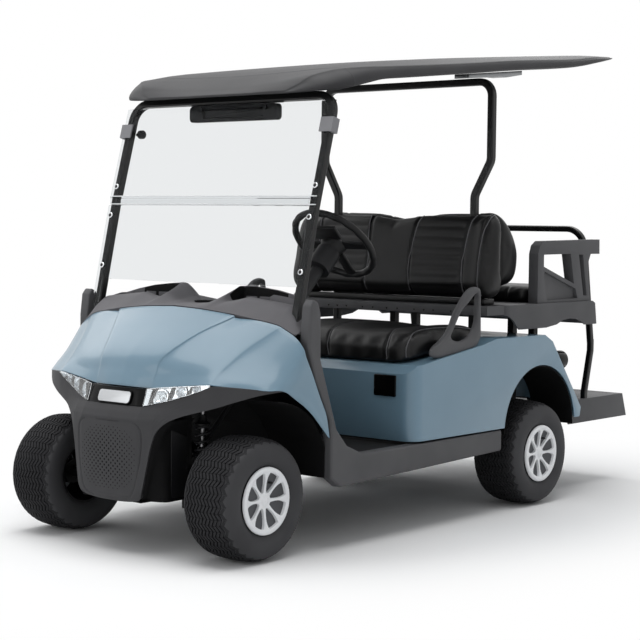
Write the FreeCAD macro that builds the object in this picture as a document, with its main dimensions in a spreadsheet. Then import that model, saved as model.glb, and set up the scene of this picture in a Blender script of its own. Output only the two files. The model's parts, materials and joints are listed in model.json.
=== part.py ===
# Electric golf cart with four seats, the rear two facing backwards.
# Millimetres. X points to the vehicle's left, -Y is the front, Z is up, and the floor is Z = 0.
# Outlines are written as (x, s, z), where s is the distance behind the front axle.
# Each sub-part is then placed so that the middle of the vehicle's length is at Y = 0.
import FreeCAD
import Part
import Sketcher
import math
import os
from FreeCAD import Vector

doc = FreeCAD.newDocument("golf_cart")
sheet = doc.addObject("Spreadsheet::Sheet", "sheet")

SIZES = {
    "front_overhang": 232, "wheelbase": 1670, "rear_overhang": 868, "front_track": 900, "rear_track": 980,
    "tyre_radius": 216, "tyre_width": 215, "bead_radius": 112, "rim_wall": 8, "cover_radius": 118,
    "hub_radius": 45, "kingpin_inset": 105, "shock_inset": 205, "carrier_inset": 235, "rail_inset": 300,
    "pinion_inset": 52,
    "ear_height": 16, "knuckle_height": 108, "spindle_radius": 19, "steer_arm": 135, "rack_rod": 9,
    "running_gap": 0.3, "link_gap": 6, "hinge_radius": 8,
    "rail_width": 45, "rail_bottom": 262, "rail_height": 65, "tower_bottom": 520, "tower_height": 40,
    "rear_rail_x": 322, "rear_rail_bottom": 330, "rail_end": 2038,
    "floor_top": 332, "floor_sheet": 5, "body_half": 592, "panel": 5, "toe_s": 300, "kick_s": 190,
    "kick_top": 778, "sill_bottom": 256, "sill_top": 340, "sill_depth": 44, "cowl_inset": 4,
    "cowl_panel": 5, "cowl_rear": 97,
    "nose_bottom": 170, "dash_rear": 330, "dash_bottom": 780,
    "pod_front": 780, "pod_bottom": 345, "pod_top": 632, "deck_top": 710, "deck_s": 1690,
    "pod_rear": 1985, "rear_arch_s": 1665, "rear_arch_z": 315, "rear_arch_radius": 270,
    "strut_tube": 30, "strut_inset": 82, "strut_foot_s": 190, "strut_foot_z": 784,
    "strut_kink_s": 290, "strut_kink_z": 1225, "strut_head_s": 400, "strut_head_z": 1623.8,
    "screen_sheet": 5, "screen_gap": 0.3, "screen_overlap": 22, "rear_strut_s": 1488,
    "rear_strut_top": 1766,
    "rear_strut_inset": 149, "rear_strut_low_half": 364,
    "canopy_front": 303, "canopy_rear": 2289, "canopy_front_z": 1629, "canopy_top": 1918,
    "cushion_inset": 47, "cushion_front": 814, "cushion_rear": 1330, "cushion_top": 763,
    "backrest_inset": 52, "backrest_top": 1222, "backrest_bottom": 862,
    "tray_inset": 32, "tray_top": 838, "tray_bottom": 736, "tray_front": 1446, "tray_rear": 2155,
    "tray_wall": 8,
    "rear_cushion_front": 1700, "rear_cushion_inset": 64, "rear_backrest_inset": 70,
    "arm_inset": 10, "arm_thick": 46, "arm_recess": 16, "arm_top": 1105,
    "bar_tube": 25, "bar_inset": 74, "bar_kink_s": 2231, "bar_top_s": 2150, "bar_top": 1150,
    "step_inset": 92, "step_top": 400, "step_bottom": 296, "step_front": 2040, "step_wall": 8,
    "step_hole": 6, "step_hole_inset": 60, "step_hole_s": 2200, "step_hole_gap": 260,
    "cup_radius": 37, "cup_depth": 60, "wheel_centre_s": 654, "wheel_centre_z": 1088, "column_x": 300,
    "rim_radius": 165, "rim_section": 13, "column_angle": 45, "column_jacket": 24,
}

for row, (alias, value) in enumerate(SIZES.items(), 1):
    sheet.set(f"A{row}", str(value))
    sheet.setAlias(f"A{row}", alias)
doc.recompute()


class Size:
    """A length with its number and the sheet expression that gives it."""

    def __init__(self, number, text):
        self.number = float(number)
        self.text = text

    def __float__(self):
        return self.number

    def __neg__(self):
        return Size(-self.number, f"-({self.text})")

    def __add__(self, other):
        return Size(self.number + float(other), f"({self.text} + {text_of(other)})")

    def __radd__(self, other):
        return self + other

    def __sub__(self, other):
        return Size(self.number - float(other), f"({self.text} - {text_of(other)})")

    def __rsub__(self, other):
        return -self + other

    def __mul__(self, factor):
        return Size(self.number * float(factor), f"({self.text} * {text_of(factor)})")

    def __rmul__(self, factor):
        return self * factor

    def __truediv__(self, divisor):
        return Size(self.number / float(divisor), f"({self.text} / {text_of(divisor)})")


def text_of(value):
    if isinstance(value, Size):
        return value.text
    return f"({float(value):.6f})"


class Sheet:
    """Gives each cell of the sheet as a Size."""

    def __getattr__(self, alias):
        return Size(sheet.get(alias), f"sheet.{alias}")


dim = Sheet()
REAR_AXLE = dim.wheelbase
VEHICLE_LENGTH = dim.front_overhang + dim.wheelbase + dim.rear_overhang
FRONT_AXLE_Y = dim.front_overhang - VEHICLE_LENGTH / 2
SILL_INNER = dim.body_half - dim.sill_depth
COWL_HALF = dim.body_half - dim.cowl_inset
STRUT_HALF = dim.body_half - dim.strut_inset
REAR_STRUT_HALF = dim.body_half - dim.rear_strut_inset
CUSHION_HALF = dim.body_half - dim.cushion_inset
BACKREST_HALF = dim.body_half - dim.backrest_inset
HIP_SPAN = (dim.body_half - 36, dim.body_half - 8)
TAIL_LAMP_X = dim.body_half - 52
TRAY_HALF = dim.body_half - dim.tray_inset
REAR_CUSHION_HALF = TRAY_HALF - dim.rear_cushion_inset
REAR_BACKREST_HALF = TRAY_HALF - dim.rear_backrest_inset
ARM_X = TRAY_HALF - dim.arm_inset
BAR_HALF = TRAY_HALF - dim.bar_inset
STEP_HALF = dim.body_half - dim.step_inset
STEP_HOLE_X = STEP_HALF - dim.step_hole_inset
KINGPIN_X = dim.front_track / 2 - dim.kingpin_inset
SHOCK_X = dim.front_track / 2 - dim.shock_inset
CARRIER_X = dim.front_track / 2 - dim.carrier_inset
RAIL_X = dim.front_track / 2 - dim.rail_inset
PINION_X = RAIL_X - dim.pinion_inset
COVER_WINDOWS = 8


def bind(thing, name, value):
    """Ties a property to the sheet, or sets a plain number."""
    if isinstance(value, Size):
        thing.setExpression(name, value.text)
    else:
        thing.setExpression(name, text_of(value))


def place(thing, x, s, z):
    bind(thing, "Placement.Base.x", x)
    bind(thing, "Placement.Base.y", s)
    bind(thing, "Placement.Base.z", z)
    return thing


nodes = {}


def node(name, thing, x=0, s=0, z=0):
    """Names a sub-part and puts it in the vehicle's frame."""
    thing.Label = name
    bind(thing, "Placement.Base.x", x + 0)
    bind(thing, "Placement.Base.y", FRONT_AXLE_Y + s)
    bind(thing, "Placement.Base.z", z + 0)
    nodes[name] = thing
    return thing


def box(name, x, s, z):
    """A block between the low and high value along each axis."""
    block = doc.addObject("Part::Box", name)
    for side, (low, high) in zip(("Length", "Width", "Height"), (x, s, z)):
        bind(block, side, high - low)
    return place(block, x[0], s[0], z[0])


AXIS_TURN = {
    "x": FreeCAD.Rotation(Vector(0, 1, 0), 90),
    "y": FreeCAD.Rotation(Vector(1, 0, 0), -90),
    "z": FreeCAD.Rotation(),
}


def rod(name, radius, length, at, axis):
    """A round bar that starts at a point and runs along an axis."""
    bar = doc.addObject("Part::Cylinder", name)
    bind(bar, "Radius", radius)
    bind(bar, "Height", length)
    bar.Placement = FreeCAD.Placement(Vector(), AXIS_TURN[axis])
    return place(bar, *at)


def fuse(name, pieces):
    joined = doc.addObject("Part::MultiFuse", name)
    joined.Shapes = pieces
    joined.Refine = True
    return joined


def cut(name, base, tools):
    tool = tools[0] if len(tools) == 1 else fuse(name + "_tools", tools)
    result = doc.addObject("Part::Cut", name)
    result.Base = base
    result.Tool = tool
    return result


def group(name, pieces):
    """Like pieces that share a node as solids that don't touch."""
    compound = doc.addObject("Part::Compound", name)
    compound.Links = pieces
    return compound


def mirrored(name, piece):
    """The same piece on the other side of the vehicle."""
    twin = doc.addObject("Part::Mirroring", name)
    twin.Source = piece
    twin.Normal = Vector(1, 0, 0)
    return twin


def both_sides(name, piece):
    return group(name, [piece, mirrored(name + "_twin", piece)])


def new_body(name):
    return doc.addObject("PartDesign::Body", name)


def origin_plane(body, plane):
    return next(f for f in body.Origin.OriginFeatures if f.Role == f"{plane}_Plane")


def sketch(body, plane, height, outline):
    """A closed outline on a plane of the body, each corner tied to the sheet."""
    drawing = body.newObject("Sketcher::SketchObject", body.Name + "_outline")
    drawing.AttachmentSupport = (origin_plane(body, plane), [""])
    drawing.MapMode = "FlatFace"
    towards = -1 if plane == "XZ" else 1
    bind(drawing, "AttachmentOffset.Base.z", towards * height)
    corners = [Vector(float(u), float(v), 0) for u, v in outline]
    count = len(corners)
    for index in range(count):
        drawing.addGeometry(Part.LineSegment(corners[index], corners[(index + 1) % count]), False)
    rules = [joined_ends(index, count) for index in range(count)]
    drawing.addConstraint(rules)
    for index, (u, v) in enumerate(outline):
        for kind, value in (("DistanceX", u), ("DistanceY", v)):
            rule = drawing.addConstraint(Sketcher.Constraint(kind, -1, 1, index, 1, float(value)))
            if isinstance(value, Size):
                drawing.setExpression(f"Constraints[{rule}]", value.text)
    return drawing


def joined_ends(index, count):
    return Sketcher.Constraint("Coincident", index, 2, (index + 1) % count, 1)



def pad(body, plane, span, outline):
    """Material between two heights above a plane."""
    low, high = span
    feature = body.newObject("PartDesign::Pad", body.Name + "_pad")
    feature.Profile = sketch(body, plane, low, outline)
    bind(feature, "Length", high - low)
    feature.Reversed = plane == "XZ"
    body.Tip = feature
    return body


def pocket(body, plane, span, outline):
    """A cut between two heights above a plane."""
    low, high = span
    feature = body.newObject("PartDesign::Pocket", body.Name + "_pocket")
    feature.Profile = sketch(body, plane, low, outline)
    bind(feature, "Length", high - low)
    feature.Reversed = plane != "XZ"
    body.Tip = feature
    return body


def loft(body, kind, plane, sections, ruled=False):
    """A skin through outlines at several heights, added or taken away."""
    feature = body.newObject(f"PartDesign::{kind}Loft", body.Name + "_loft")
    drawings = [sketch(body, plane, height, outline) for height, outline in sections]
    feature.Profile = drawings[0]
    feature.Sections = drawings[1:]
    feature.Ruled = ruled
    body.Tip = feature
    return body


def revolve(body, outline):
    """A turned piece: the outline is (along X, radius) and turns about X."""
    feature = body.newObject("PartDesign::Revolution", body.Name + "_turned")
    drawing = sketch(body, "XZ", 0, outline)
    feature.Profile = drawing
    feature.ReferenceAxis = (drawing, ["H_Axis"])
    feature.Angle = 360
    body.Tip = feature
    return body


def edges_where(shape, wanted):
    names = []
    for index, edge in enumerate(shape.Edges, 1):
        if wanted(edge):
            names.append(f"Edge{index}")
    return names


def fillet(body, radius, wanted):
    """Rounds the edges of the body that a rule picks out."""
    doc.recompute()
    base = body.Tip
    names = edges_where(base.Shape, wanted)
    feature = body.newObject("PartDesign::Fillet", body.Name + "_fillet")
    feature.Base = (base, names)
    bind(feature, "Radius", radius)
    body.Tip = feature
    return body


def runs_along(axis):
    """True for a straight edge parallel to an axis."""
    pick = {"x": 0, "y": 1, "z": 2}[axis]

    def wanted(edge):
        if edge.Curve.TypeId != "Part::GeomLine":
            return False
        return abs(edge.Curve.Direction[pick]) > 0.999

    return wanted


def rect(u, v):
    """A rectangle from its low and high values."""
    return [(u[0], v[0]), (u[1], v[0]), (u[1], v[1]), (u[0], v[1])]


def centred(half):
    return (-half, half)


def rounded_path(points, bend):
    """Straight runs joined by tangent arcs of one radius."""
    stops = [Vector(*[float(value) for value in point]) for point in points]
    edges = []
    start = stops[0]
    for before, corner, after in zip(stops, stops[1:], stops[2:]):
        into = (corner - before).normalize()
        out = (after - corner).normalize()
        turn = into.getAngle(out)
        setback = float(bend) * math.tan(turn / 2)
        first = corner - into * setback
        last = corner + out * setback
        inward = (out - into).normalize()
        depth = float(bend) / math.cos(turn / 2) - float(bend)
        edges.append(Part.LineSegment(start, first).toShape())
        edges.append(Part.Arc(first, corner + inward * depth, last).toShape())
        start = last
    edges.append(Part.LineSegment(start, stops[-1]).toShape())
    return Part.Wire(edges)


def cross_section(start, heading, across, width, depth, corner):
    """A rounded rectangle square to the start of a path."""
    forward = heading.normalize()
    side = across.normalize()
    up = forward.cross(side)
    half_w, half_d, r = float(width) / 2, float(depth) / 2, float(corner)
    corners = [(1, 1), (-1, 1), (-1, -1), (1, -1)]
    edges = []
    ends = []
    for sx, sy in corners:
        middle = start + side * (sx * (half_w - r)) + up * (sy * (half_d - r))
        along_x = middle + side * (sx * r)
        along_y = middle + up * (sy * r)
        bulge = middle + (side * sx + up * sy) * (r / math.sqrt(2))
        first, last = (along_x, along_y) if sx == sy else (along_y, along_x)
        ends.append((first, last))
        edges.append(Part.Arc(first, bulge, last).toShape())
    for index in range(4):
        edges.append(Part.LineSegment(ends[index][1], ends[(index + 1) % 4][0]).toShape())
    return Part.Wire(Part.__sortEdges__(edges))


def tube(name, points, bend, across, width, depth=None, corner=None):
    """A bent bar of rounded section; across is square to the plane of its bends."""
    path = rounded_path(points, bend)
    start = Vector(*[float(value) for value in points[0]])
    heading = Vector(*[float(value) for value in points[1]]) - start
    if across is None:
        across = heading.cross(Vector(0, 0, 1))
    depth = width if depth is None else depth
    corner = float(width) * 0.2 if corner is None else corner
    shell = Part.BRepOffsetAPI.MakePipeShell(path)
    shell.setBiNormalMode(Vector(*across))
    shell.add(cross_section(start, heading, Vector(*across), width, depth, corner))
    shell.build()
    shell.makeSolid()
    feature = doc.addObject("Part::Feature", name)
    feature.Shape = shell.shape()
    return feature


def wide(x):
    """A distance from the middle, as drawn for the standard body, that grows with the body's width."""
    drawn_half = 592
    return dim.body_half * (x / drawn_half)


def common(name, pieces):
    """The room that the pieces share."""
    shared = doc.addObject("Part::MultiCommon", name)
    shared.Shapes = pieces
    return shared


def prism(name, plane, span, outline):
    """A straight block with a drawn outline."""
    return pad(new_body(name), plane, span, outline)


def nose_line(gap):
    """The bonnet's front edge seen from above, moved forwards by a gap."""
    half = [(0, -168), (136, -150), (377, -105), (480, -52), (588, 44)]
    return [(wide(x), s - gap) for x, s in half]


def nose_band():
    """The solid band in front of the bonnet, sloped back, out of which bumper and lamps are cut."""
    across = (0, 142, 200, 312, 387, 480, 560, 597)
    faces = [
        (440, (-231, -224, -205, -150, -119, -67, 2, 46)),
        (478, (-229, -222, -203, -149, -119, -67, 2, 46)),
        (523, (-202, -191, -178, -140, -116, -66, 2, 46)),
        (620, (-171, -154, -145, -123, -108, -58, 5, 46)),
    ]
    behind = list(reversed(nose_line(dim.running_gap)))
    sections = []
    for z, depths in faces:
        curve = list(zip(across, depths))
        half = [(wide(x), s) for x, s in curve[1:]] + behind[:-1]
        other = [(-u, v) for u, v in reversed(half)]
        sections.append((z, [(0, curve[0][1])] + half + behind[-1:] + other))
    return loft(new_body("nose_band"), "Additive", "XY", sections, ruled=True)


def front_view(name, points):
    """A block that keeps what a front view's outline encloses."""
    return prism(name, "XZ", (-300, 80), [(wide(x), z) for x, z in points])


def mirror_points(points):
    return points + [(-x, z) for x, z in reversed(points)]


def nose_box(inset):
    """The bumper's lower box, tapered towards the ground."""
    corners = [
        (dim.nose_bottom, -10, -196), (215, 27, -230), (310, 40, -232), (446, 51, -231), (476, 50, -226),
    ]
    sections = []
    for z, past_rail, front in corners:
        side, face = RAIL_X + past_rail - inset, front + inset
        height = z + inset if float(z) < 300 else z - inset
        points = [(44, face), (side - 34, face), (side, face + 34), (side, -38 + inset * 8)]
        sections.append((height, mirror_points(points)))
    return sections


def dash_hump(name):
    """A raised side of the dash that climbs towards the rider."""
    low = [(44, 820), (44, 872), (150, 873), (314, 872), (546, 852), (546, 820)]
    middle = [(44, 820), (44, 872), (120, 892), (330, 889), (546, 852), (546, 820)]
    high = [(44, 820), (44, 873), (153, 935), (314, 921), (546, 850), (546, 820)]
    stations = [(150, low), (200, middle), (290, high), (dim.dash_rear, high)]
    sections = [(s, [(wide(x), z) for x, z in outline]) for s, outline in stations]
    return loft(new_body(name), "Additive", "XZ", sections, ruled=True)


def sloped_block(name, x, low, high, front, thick):
    """A flat block between two x, whose face lies a distance in front of the line from low to high."""
    run, rise = float(high[0] - low[0]), float(high[1] - low[1])
    length = math.hypot(run, rise)
    forward = Vector(0, -rise / length, run / length)
    slab = doc.addObject("Part::Box", name)
    bind(slab, "Length", x[1] - x[0])
    bind(slab, "Width", thick)
    slab.Height = length
    turn = FreeCAD.Rotation(Vector(1, 0, 0), -math.degrees(math.atan2(run, rise)))
    base = Vector(float(x[0]), float(low[0]), float(low[1])) + forward * (float(front) + float(thick))
    slab.Placement = FreeCAD.Placement(base, turn)
    return slab


def canopy_section(s, edge, low, crease, shoulder, crown):
    """The roof's outline across the vehicle; its lower part is cut off later."""
    half = [
        (wide(edge), low - 40), (wide(edge), low), (wide(crease[0]), crease[1]),
        (wide(shoulder[0]), shoulder[1]),
    ]
    other = [(-u, v) for u, v in reversed(half)]
    return (s, half + [(0, crown)] + other)


def cover_windows():
    """Wedge-shaped recesses between the spokes of a wheel's cover."""
    floor, face = 86, 112
    outline = [(-4, 31), (4, 31), (20, 92), (14, 99), (-14, 99), (-20, 92)]
    wedge = prism("cover_window", "YZ", (floor, face), outline)
    copies = []
    for index in range(COVER_WINDOWS):
        copy = doc.addObject("Part::Compound", f"cover_window_{index}")
        copy.Links = [wedge]
        turn = FreeCAD.Rotation(Vector(1, 0, 0), index * 360 / COVER_WINDOWS)
        copy.Placement = FreeCAD.Placement(Vector(), turn)
        copies.append(copy)
    return copies


def build_frame_rails():
    x_in, x_out = RAIL_X - dim.rail_width / 2, RAIL_X + dim.rail_width / 2
    rail_top = dim.rail_bottom + dim.rail_height
    rear_top = dim.rear_rail_bottom + dim.rail_height
    half = dim.rail_width / 2
    carrier_rear = dim.steer_arm - 27
    foot_s = (dim.rear_strut_s - 28, dim.rear_strut_s + 28)
    foot_x = (dim.rear_rail_x + half, dim.rear_strut_low_half - dim.strut_tube / 2)
    rail = box("rail", (x_in, x_out), (-150, 1380), (dim.rail_bottom, rail_top))
    rear_x = (dim.rear_rail_x - half, dim.rear_rail_x + half)
    rear = box("rear_rail", rear_x, (1335, dim.rail_end), (dim.rear_rail_bottom, rear_top))
    carrier = box("arm_carrier", (x_out, CARRIER_X), (-26, carrier_rear), (150, dim.rail_bottom + 20))
    tower = box("shock_tower", (x_in, x_out), (-22, 22), (rail_top, dim.tower_bottom))
    strut_foot = box("strut_foot", foot_x, foot_s, (dim.rear_rail_bottom + 10, rear_top))
    left = [rail, rear, carrier, tower, strut_foot]
    right = [mirrored(piece.Name + "_right", piece) for piece in left]
    wide_half = dim.rear_rail_x + half
    tower_z = (dim.tower_bottom, dim.tower_bottom + dim.tower_height)
    tail_s = (dim.rail_end - dim.rail_width, dim.rail_end)
    across = [
        box("nose_bracket", centred(60), (-217, -150), (275, 315)),
        box("nose_member", centred(x_out), (-150, -115), (dim.rail_bottom, rail_top)),
        box("tower_member", centred(SHOCK_X + 27), (-22, 22), tower_z),
        box("toe_member", centred(x_out), (330, 380), (dim.rail_bottom, rail_top)),
        box("pod_member", centred(x_out), (790, 840), (dim.rail_bottom, rail_top)),
        box("step_member", centred(wide_half), (1335, 1380), (dim.rail_bottom, rear_top)),
        box("tail_member", centred(wide_half), tail_s, (dim.rear_rail_bottom, rear_top)),
    ]
    node("frame_rails", fuse("frame_rails", left + right + across))


def build_floor():
    top, bottom = dim.floor_top, dim.floor_top - dim.floor_sheet
    pan = prism("floor_pan", "XY", (bottom, top), rect(centred(SILL_INNER), (dim.toe_s, dim.pod_front)))
    node("floor_pan", pan)
    thick = dim.floor_sheet
    slope_s = dim.toe_s - 80
    outline = [
        (dim.toe_s, dim.floor_top), (dim.toe_s, 432), (slope_s, 610), (dim.kick_s, 650),
        (dim.kick_s, dim.kick_top), (dim.kick_s - thick, dim.kick_top), (dim.kick_s - thick, 648),
        (slope_s - thick, 607), (dim.toe_s - thick, 430), (dim.toe_s - thick, dim.floor_top),
    ]
    board = prism("kick_board", "YZ", centred(SILL_INNER), outline)
    hole = rod("column_hole", dim.column_jacket + 4, 400, (dim.column_x, 100, 534), "y")
    hole.Placement.Rotation = FreeCAD.Rotation(Vector(1, 0, 0), -45)
    node("kick_board", cut("kick_board_cut", board, [hole]))


def build_rockers():
    """The sills, with the posts that rise beside the dash."""
    outline = [
        (352, 226), (1378, dim.sill_bottom), (1378, dim.sill_top), (480, 336), (390, 372), (330, 436),
        (238, 689), (236, 850), (222, 890), (200, 902), (182, 880), (172, 800), (172, 733), (216, 612),
        (290, 474), (300, 412), (300, 262),
    ]
    body = prism("rocker", "YZ", (SILL_INNER, dim.body_half), outline)
    outer = float(dim.body_half) - 1
    fillet(body, 9, lambda edge: edge.BoundBox.XLength < 0.1 and edge.BoundBox.XMin > outer)
    node("rocker_panels", both_sides("rocker_panels", body))


def cowl_section(s, centre, bulge, crease, edge_z, inset):
    """An outline of the bonnet across the vehicle: its middle, its two creases and its lower edge."""
    bottom = 380
    half = [
        (wide(bulge[0]) - inset, bulge[1] - inset), (wide(crease[0]) - inset, crease[1] - inset),
        (COWL_HALF - inset, edge_z - inset * 0.5), (COWL_HALF - inset, bottom - inset * 4),
    ]
    other = [(-u, v) for u, v in reversed(half)]
    return (s, [(0, centre - inset)] + half + other)


def cowl_stations(inset):
    return [
        cowl_section(-190, 540, (150, 508), (350, 500), 430, inset),
        cowl_section(-150, 630, (152, 592), (362, 562), 470, inset),
        cowl_section(-110, 700, (156, 689), (375, 613), 505, inset),
        cowl_section(0, 784, (220, 765), (405, 700), 578, inset),
        cowl_section(100, 858, (296, 826), (465, 785), 668, inset),
        cowl_section(200, 930, (350, 895), (525, 850), 745, inset),
        cowl_section(310, 1000, (400, 960), (560, 910), 830, inset),
    ]


def build_cowl():
    body = new_body("front_cowl")
    loft(body, "Additive", "XZ", cowl_stations(0))
    loft(body, "Subtractive", "XZ", cowl_stations(dim.cowl_panel))
    far = dim.body_half + 20
    edge = nose_line(0)
    in_front = edge[1:] + [(far, 60), (far, -400)]
    pocket(body, "XY", (300, 1100), [edge[0]] + mirror_points(in_front))
    behind = [
        (dim.cowl_rear, 1100), (dim.cowl_rear, 860), (120, 835), (150, 800), (150, 733), (211, 609),
        (286, 472), (296, 400), (296, 300), (400, 300), (400, 1100),
    ]
    pocket(body, "YZ", centred(far), behind)
    arch = [(-300, 200), (300, 200), (296, 408), (290, 412), (182, 511), (102, 561), (40, 594), (-300, 594)]
    pocket(body, "YZ", centred(far), arch)
    node("front_cowl", body)


def build_bumper():
    lower = new_body("bumper_box")
    loft(lower, "Additive", "XY", nose_box(0), ruled=True)
    loft(lower, "Subtractive", "XY", nose_box(8), ruled=True)
    wings = mirror_points([
        (0, 521.5), (142, 521.5), (231, 543.5), (312, 570), (389, 601), (393, 609), (480, 600), (560, 594),
        (597, 590), (597, 586), (560, 578), (480, 562), (395, 541), (330, 508), (278, 484), (240, 468),
        (203, 452), (0, 452),
    ][1:-1])
    upper = common("bumper_wings", [nose_band(), front_view("wing_view", wings)])
    node("front_bumper", fuse("front_bumper_solid", [lower, upper]))


def build_lamps():
    panel = mirror_points([(141, 522), (139, 583)])
    node("lamp_panel", common("lamp_panel_cut", [nose_band(), front_view("panel_view", panel)]))
    leaf = [
        (142, 522.5), (231, 544.5), (312, 571.5), (388, 602), (391, 609), (377, 609), (250, 597),
        (140, 584),
    ]
    lamp = common("headlamp", [nose_band(), front_view("lamp_view", leaf)])
    node("headlamps", both_sides("headlamps", lamp))


def build_dash():
    outline = [
        (154, dim.dash_bottom), (dim.dash_rear, dim.dash_bottom), (dim.dash_rear, 873), (150, 872),
        (104, 866), (104, 853), (124, 837), (154, 803),
    ]
    base = prism("dash_base", "YZ", centred(SILL_INNER - dim.running_gap), outline)
    driver = dash_hump("driver_hump")
    rider = mirrored("rider_hump", driver)
    tray = prism("dash_tray", "XY", (878, 1000), [
        (wide(120), 196), (wide(196), dim.dash_rear - 14), (wide(460), dim.dash_rear - 14),
        (wide(470), 250), (wide(250), 196),
    ])
    slot = dim.strut_tube / 2 + dim.running_gap
    ear = dim.screen_overlap + dim.running_gap
    posts = []
    sides = {
        "left": (STRUT_HALF - slot, STRUT_HALF + ear),
        "right": (-STRUT_HALF - ear, slot - STRUT_HALF),
    }
    for name, x in sides.items():
        posts.append(box(f"post_slot_{name}", x, (170, 300), (700, 1000)))
    reach = 500
    column = rod("dash_column_hole", dim.column_jacket + dim.running_gap, 600, (0, 0, 0), "z")
    hole = turned_along_column(column, dim.column_x, dim.wheel_centre_s - reach, dim.wheel_centre_z - reach)
    cup = rod("cup", dim.cup_radius, dim.cup_depth + 20, (0, 262, 873 - dim.cup_depth), "z")
    far = dim.body_half + 20
    corner = prism("dash_corner", "XY", (700, 1000), [
        (wide(478), dim.dash_rear + 1), (wide(545), 240), (far, 240), (far, dim.dash_rear + 1),
    ])
    corners = [corner, mirrored("dash_corner_right", corner)]
    whole = fuse("dash_whole", [base, driver, rider])
    node("dash_top", cut("dash_top_cut", whole, posts + corners + [tray, hole, cup]))


def pod_outline():
    return [
        (dim.pod_front, dim.pod_bottom), (dim.pod_front, 600), (812, dim.pod_top), (1235, 690),
        (1330, dim.deck_top), (dim.deck_s, dim.deck_top), (1750, 680), (dim.pod_rear, 385),
        (1975, dim.pod_bottom),
    ]


def pod_solid():
    """The rear body as a block, to seat other pieces on its surface."""
    return pad(new_body("pod_solid"), "YZ", centred(dim.body_half + 40), pod_outline())


def pod_block(name, inset, outline):
    """The rear body's side view, kept inside its plan with two rounded front corners."""
    half = dim.body_half - inset
    front = dim.pod_front + inset
    side = prism(f"{name}_side", "YZ", centred(half), outline)
    plan = new_body(f"{name}_plan")
    pad(plan, "XY", (250, 800), rect(centred(half), (front, dim.pod_rear + 40)))
    front_limit = float(front) + 1
    fillet(plan, 60 - inset, lambda edge: runs_along("z")(edge) and edge.BoundBox.YMax < front_limit)
    return common(name, [side, plan])


def build_rear_body():
    wall = dim.panel
    inner = [
        (dim.pod_front + wall, 300), (dim.pod_front + wall, 598), (814, dim.pod_top - wall),
        (1235, 690 - wall), (1330, dim.deck_top - wall), (dim.deck_s - 3, dim.deck_top - wall),
        (1746, 680 - wall), (dim.pod_rear - 8, 385), (1967, 300),
    ]
    body = pod_block("pod_outside", 0, pod_outline())
    hollow = pod_block("pod_inside", wall, inner)
    far = dim.body_half + 20
    arch = rod("rear_arch", dim.rear_arch_radius, 2 * far, (-far, dim.rear_arch_s, dim.rear_arch_z), "x")
    tools = [
        hollow, arch, box("battery_hatch", centred(440), (905, 1300), (600, 800)),
        box("frame_gap", centred(400), (1900, 2010), (300, 410)),
    ]
    slot = dim.strut_tube + 2 * dim.running_gap
    s = dim.rear_strut_s
    for side in (-1, 1):
        x = side * dim.rear_strut_low_half
        across = (x - slot / 2, x + slot / 2)
        tools.append(box(f"deck_slot_{side}", across, (s - slot / 2, s + slot / 2), (600, 800)))
        x = side * dim.rear_rail_x
        post_slot = box(f"seat_post_slot_{side}", (x - 15.3, x + 15.3), (1834.7, 1865.3), (500, 800))
        tools.append(post_slot)
    node("rear_body", cut("rear_body_cut", body, tools))


def build_battery():
    body = new_body("battery_pack")
    pad(body, "XY", (dim.rail_bottom + dim.rail_height, 560), rect(centred(420), (860, 1300)))
    node("battery_pack", body)


def build_rear_axle():
    z = dim.tyre_radius
    reach = dim.rear_track / 2 - 20 - dim.running_gap
    tube_piece = rod("axle_tube", 36, reach * 2, (-reach, REAR_AXLE, z), "x")
    drum = rod("drum", 78, 52, (reach - 52, REAR_AXLE, z), "x")
    case = rod("gear_case", 92, 120, (-60, REAR_AXLE, z), "x")
    motor = rod("motor", 88, 240, (0, REAR_AXLE + 60, z + 4), "y")
    node("rear_axle", fuse("rear_axle", [tube_piece, drum, mirrored("drum_right", drum), case, motor]))
    z_top = z + 36
    x = dim.rear_rail_x
    high, low = dim.rear_rail_bottom - 30, dim.rear_rail_bottom - 68
    path = [(x, 1400, high), (x, 1520, low), (x, 1820, low), (x, 1960, high)]
    leaf = tube("leaf", path, 300, (1, 0, 0), 44, 16, 4)
    pad_block = box("spring_pad", (x - 24, x + 24), (REAR_AXLE - 40, REAR_AXLE + 40), (z_top - 2, low - 4))
    hang_z = (dim.rear_rail_bottom - 34, dim.rear_rail_bottom)
    hang = [
        box("hanger_front", (x - 12, x + 12), (1385, 1415), hang_z),
        box("hanger_rear", (x - 12, x + 12), (1945, 1975), hang_z),
    ]
    axle_clear = rod("axle_clear", 36, 200, (x - 100, REAR_AXLE, z), "x")
    spring = cut("spring_cut", fuse("spring_all", [leaf, pad_block] + hang), [axle_clear])
    node("rear_springs", both_sides("rear_springs", spring))


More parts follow.
